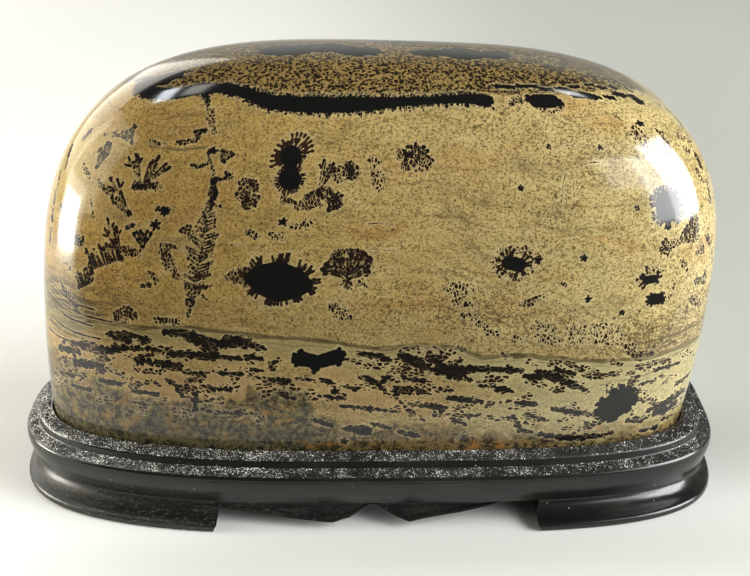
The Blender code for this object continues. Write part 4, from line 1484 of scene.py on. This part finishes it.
def turn_at(x):
    """Turn, on the back half of the plan, at which the stand has this x."""
    turn = np.linspace(0.0, math.pi, 20001)
    return float(np.interp(-x, -plan(turn, *STAND_HALF)[0], turn))


foot_face = [(COVE_TOP[0], 0.0, JOIN_Z)]
for z in np.linspace(COVE_TOP[1], COVE_FOOT[1], COVE_ROWS):
    foot_face.append((*cove(z), z))
for degrees in range(60, -91, -15):
    dip = math.radians(degrees)
    lip_inset = -LIP_REACH + LIP_FLATNESS * LIP_ROUND * (1 - math.cos(dip))
    foot_face.append((lip_inset, FRONT_FLARE, LIP_ROUND * (1 + math.sin(dip))))


def end_x_at(end_x, z):
    """The end of a foot bulges at mid height."""
    side = math.copysign(1.0, end_x)
    return end_x - side * FOOT_END_BULGE * math.sin(math.pi * min(z / COVE_TOP[1], 1.0)) ** 2


for end_x in FOOT_ENDS:
    turn = turn_at(end_x)
    limits = (turn, 2 * math.pi - turn) if end_x < 0 else (-turn, turn)
    turns = even_turns(*limits, FOOT_COLUMNS, *STAND_HALF, FOOT_BEND_SHARE)
    outer = [stand_point(turns, inset, z, flare) for inset, flare, z in foot_face]
    inner = [stand_point(turns, FOOT_THICKNESS, z) for _, _, z in foot_face]
    for row in outer + inner:
        row[[0, -1], 0] = end_x_at(end_x, row[0, 2])
    starts = sweep((outer + inner[::-1])[::-1], loop=False)
    count = len(starts)
    for place in (0, len(turns) - 1):
        for i in range(count // 2 - 1):
            face = (starts[i] + place, starts[i + 1] + place, starts[-2 - i] + place, starts[-1 - i] + place)
            stand_faces.append(face[::-1] if place else face)
    for place in range(len(turns) - 1):
        first, last = starts[0] + place, starts[-1] + place
        stand_faces.append((last, last + 1, first + 1, first))
print("with feet:", len(stand_vertices), "points")

APRON_STATIONS = 110
BEAD_HALF = 0.55
BEAD_TOP = 2.2 * BEAD_HALF
APRON_LEAST = 0.2
apron_x = np.linspace(APRON_EDGE[0][0], APRON_EDGE[-1][0], APRON_STATIONS)
apron_z = np.interp(apron_x, *np.array(APRON_EDGE).T)
for side_y in (-1, 1):
    rows = []
    for x, edge_z in zip(apron_x, apron_z):
        turn = np.array([side_y * turn_at(x)])
        row = []
        for z in np.linspace(APRON_JOIN_Z, min(edge_z + BEAD_TOP, APRON_JOIN_Z - APRON_LEAST), 8):
            inset, flare = cove(z)
            row.append((x, stand_point(turn, inset + APRON_SET_BACK, z, flare)[0, 1], z))
        for dip in np.linspace(math.pi / 2, -math.pi / 2, 7):
            z = edge_z + BEAD_HALF * (1 + math.sin(dip))
            inset, flare = cove(z)
            out = inset + APRON_SET_BACK - BEAD_HALF * math.cos(dip)
            row.append((x, stand_point(turn, out, z, flare)[0, 1], z))
        row.append((x, stand_point(turn, COVE_TOP[0] + APRON_THICKNESS, edge_z)[0, 1], edge_z))
        row.append((x, stand_point(turn, COVE_TOP[0] + APRON_THICKNESS, APRON_JOIN_Z)[0, 1], APRON_JOIN_Z))
        rows.append(row)
    starts = sweep(rows if side_y > 0 else rows[::-1])
    width = len(rows[0])
    stand_faces.append(tuple(range(starts[0] + width - 1, starts[0] - 1, -1)))
    stand_faces.append(tuple(range(starts[-1], starts[-1] + width)))

# %% Join the stand's shapes in one mesh
stand_mesh = bpy.data.meshes.new("carved_stand")
stand_mesh.from_pydata([[float(v) * MM for v in point] for point in stand_vertices], [], stand_faces)
stand_mesh.shade_smooth()
stand_mesh.set_sharp_from_angle(angle=SHARP_ANGLE)
stand_object = bpy.data.objects.new("carved_stand", stand_mesh)
bpy.context.scene.collection.objects.link(stand_object)
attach(stand_object, "root")
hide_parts("stand")
print("stand:", sum(len(face) - 2 for face in stand_faces), "triangles")

# %% [markdown]
# ## Black lacquer
#
# Lacquer is a thin dark gloss over wood, so its own colour hardly shows, and its reflections do the work.
# It is glossy on the smooth faces and duller in the two punched bands, where polish never reached. Pale
# flecks between the grains there are partly dust and partly painted glints, denser towards the left, where
# the light falls. The bands are found by their height and by how far the surface looks up. The low carving is
# worn towards the left, and its pores are painted paler there, a painted light on the lit side. Brush marks
# run along the stand as a very faint ripple.

# %% Lacquer
LACQUER_BLACK = (0.006, 0.0065, 0.0055)
LACQUER_WORN = (0.016, 0.018, 0.014)
PALE_DUST_AND_PAINTED_LIGHT = (1.0, 1.0, 0.92)
BAND_FOOT_Z = 18.15
STEP_MIDDLE_Z = 21.2
GLOSS = 0.16
BAND_DULL = 0.22
WORN_DULL = 0.14
BRUSH_DULL = 0.10

lacquer = Bench("black_lacquered_wood", IOR=1.5)
stand_x, _, stand_z = lacquer.parts(lacquer.place)
faces_up = lacquer.parts(lacquer.node("NewGeometry", {}, {}, "Normal"))[2]
over_foot = lacquer.step(stand_z, BAND_FOOT_Z + 0.1, BAND_FOOT_Z + 0.4)
step_face = lacquer.step(abs(stand_z - STEP_MIDDLE_Z), 1.0, 0.8)
in_bands = over_foot * lacquer.step(faces_up, 0.35, 0.6) * (1.0 - step_face)
worn = lacquer.noise(7.0, 4.0, (3.0, 1.0, 1.0))
lacquer_colour = lacquer.mix(lacquer.step(worn, 0.4, 0.75), LACQUER_BLACK, LACQUER_WORN)
# Painted glints: pale flecks in the bands, partly dust and partly painted glints, denser towards the left
# where the light falls.
flecks = lacquer.noise(0.42, 2.0, roughness=0.6)
dust_and_light_from_left = lacquer.noise(6.0, 3.0, shift=4.0) - 0.0011 * stand_x
dust_and_glint_fleck = lacquer.step(flecks + 0.30 * (dust_and_light_from_left - 0.5), 0.595, 0.66)
lacquer_colour = lacquer.mix(in_bands * dust_and_glint_fleck, lacquer_colour, PALE_DUST_AND_PAINTED_LIGHT)
pores = lacquer.noise(0.6, 3.0, (2.5, 1.5, 1.0), 0.7, shift=15.0)
# Painted light: the low carving is worn towards the left, and its pores are painted paler there, on the lit
# side.
worn_and_lit_carving = lacquer.step(stand_z, 12.5, 11.0) * lacquer.step(stand_x, 60.0, -70.0)
lacquer_colour = lacquer.mix(worn_and_lit_carving * lacquer.step(pores, 0.5, 0.7) * 0.06, lacquer_colour, PALE_DUST_AND_PAINTED_LIGHT)
lint = lacquer.dots(lacquer.place, 3.4, 0.03, 0.10, shift=9.0)
lacquer.feed("Base Color", lacquer.mix(lint * 0.3, lacquer_colour, PALE_DUST_AND_PAINTED_LIGHT))
brush = lacquer.noise(3.0, 3.0, (4.0, 1.0, 1.0), shift=8.0)
lacquer.feed("Roughness", GLOSS + BAND_DULL * in_bands + WORN_DULL * worn_and_lit_carving + BRUSH_DULL * brush)
brushed = lacquer.noise(0.9, 3.0, (9.0, 1.5, 1.0), shift=3.0) + 0.8 * worn_and_lit_carving * pores
ripple = lacquer.node("Bump", {}, {"Strength": 0.35, "Distance": 0.0001, "Height": brushed}, "Normal")
lacquer.feed("Normal", ripple)
stand_mesh.materials.append(lacquer.material)
print("lacquer:", len(lacquer.tree.nodes), "nodes")

# %% [markdown]
# ## Table
#
# The block stands on one sheet of pale paper that bends up far behind it, so that no edge shows. Shade is
# painted into the paper's colour towards the right and close in front of the stand, and further forward, just
# out of the picture, the paper is painted nearly black, a painted dark room. A polished side mirrors what
# lies in front of it, so the dark part is what lets the ink look black.

# %% Table
TABLE_PALE = (0.90, 0.91, 0.885)
TABLE_PAINTED_SHADE = (0.40, 0.415, 0.375)
TABLE_PAINTED_DARK_ROOM = (0.045, 0.05, 0.04)
TABLE_HALF = 2.5
FLAT_ENDS = (-0.9, 1.0)
BEND_RADIUS = 0.6
WALL_TOP = 1.8

paper = Bench("table_paper", Roughness=0.9)
paper_x, paper_y, _ = paper.parts(paper.place)
# Painted shade: the paper is painted darker towards the right and close in front of the stand.
painted_shade_right = paper.step(paper_x, -120.0, 170.0) * paper.step(paper_y, -85.0, 10.0)
painted_shade_right = painted_shade_right * (1.0 - 0.55 * paper.step(paper_y, 150.0, 900.0))
painted_shade_in_front = paper.step(paper_x, -170.0, -30.0) * paper.step(paper_y, -30.0, -72.0)
sheet_colour = paper.mix(painted_shade_right + 0.58 * painted_shade_in_front, TABLE_PALE, TABLE_PAINTED_SHADE)
# A painted dark room: further forward the paper is painted nearly black.
in_picture = paper.step(paper_y, -108.0, -79.0)
paper.feed("Base Color", paper.mix(in_picture, TABLE_PAINTED_DARK_ROOM, sheet_colour))

bend = [(FLAT_ENDS[0], 0.0), (FLAT_ENDS[1], 0.0)]
for degrees in range(10, 91, 10):
    turn = math.radians(degrees)
    bend.append((FLAT_ENDS[1] + BEND_RADIUS * math.sin(turn), BEND_RADIUS * (1 - math.cos(turn))))
bend.append((FLAT_ENDS[1] + BEND_RADIUS, WALL_TOP))
corners = [(x, y, z) for y, z in bend for x in (-TABLE_HALF, TABLE_HALF)]
strips = [(2 * i, 2 * i + 1, 2 * i + 3, 2 * i + 2) for i in range(len(bend) - 1)]
table_mesh = bpy.data.meshes.new("table")
table_mesh.from_pydata(corners, [], strips)
table_mesh.shade_smooth()
table = bpy.data.objects.new("table", table_mesh)
bpy.context.scene.collection.objects.link(table)
table_mesh.materials.append(paper.material)
print("table:", len(strips), "strips")

# %% [markdown]
# ## Light
#
# A polished thing shows its light as much as its colour. Each glare on the stone mirrors one lamp: a small
# near one, low at the left end, for the white corner there, a broad window with dimmer panes beside it for
# the right, and small ones high up for the crown. Wide weak glows soften them and light the table. In front
# the room stays dark.

# %% Lights
AIM = (0.0, -0.02, 0.1)
WHITE = (1.0, 1.0, 1.0)
DAYLIGHT = (1.0, 0.97, 0.90)
LAMPLIGHT = (1.0, 0.92, 0.72)
SKY = (0.88, 0.94, 1.0)
# Each light: its turn from the front towards +X and its lift in degrees, its distance and size in metres,
# its radiance and its colour.
LIGHTS = {
    "right_window": (76, 17, 1.0, (0.56, 0.76), 15.0, WHITE),
    "right_window_glow": (66, 18, 1.1, (0.95, 1.0), 0.7, WHITE),
    "right_window_side": (54, 14, 1.01, (0.24, 0.60), 8.0, WHITE),
    "right_window_far": (41, 22, 1.02, (0.30, 0.32), 3.2, WHITE),
    "left_window": (-91, -3.8, 0.5, (0.18, 0.13), 20.0, DAYLIGHT),
    "left_window_edge": (-91, -1.5, 0.52, (0.27, 0.18), 3.5, DAYLIGHT),
    "left_window_glow": (-88, 20, 1.1, (0.9, 0.8), 2.2, LAMPLIGHT),
    "left_backdrop": (-135, 20, 1.2, (1.3, 0.7), 2.2, (1.0, 0.96, 0.86)),
    "skylight": (-111, 55, 1.0, (0.24, 0.10), 14.0, SKY),
    "skylight_beside": (-112, 64, 1.0, (0.20, 0.10), 4.5, (1.0, 0.97, 0.88)),
    "far_lamp": (124, 61, 1.0, (0.09, 0.09), 12.0, WHITE),
}
for name, (turn, lift, distance, size, radiance, colour) in LIGHTS.items():
    turn, lift = math.radians(turn), math.radians(lift)
    way = Vector((math.sin(turn) * math.cos(lift), -math.cos(turn) * math.cos(lift), math.sin(lift)))
    lamp = bpy.data.lights.new(name, "AREA")
    lamp.shape = "RECTANGLE"
    lamp.size, lamp.size_y = size
    lamp.energy = radiance * math.pi * size[0] * size[1]
    lamp.color = colour
    light = bpy.data.objects.new(name, lamp)
    light.location = Vector(AIM) + way * distance
    light.rotation_euler = (-way).to_track_quat("-Z", "Y").to_euler()
    bpy.context.scene.collection.objects.link(light)

room = bpy.data.worlds.new("room")
bpy.context.scene.world = room
room.use_nodes = True
room.node_tree.nodes["Background"].inputs["Color"].default_value = (1.0, 0.99, 0.96, 1.0)
room.node_tree.nodes["Background"].inputs["Strength"].default_value = 0.10
bpy.context.scene.view_settings.view_transform = "Standard"
print("lights:", len(LIGHTS))
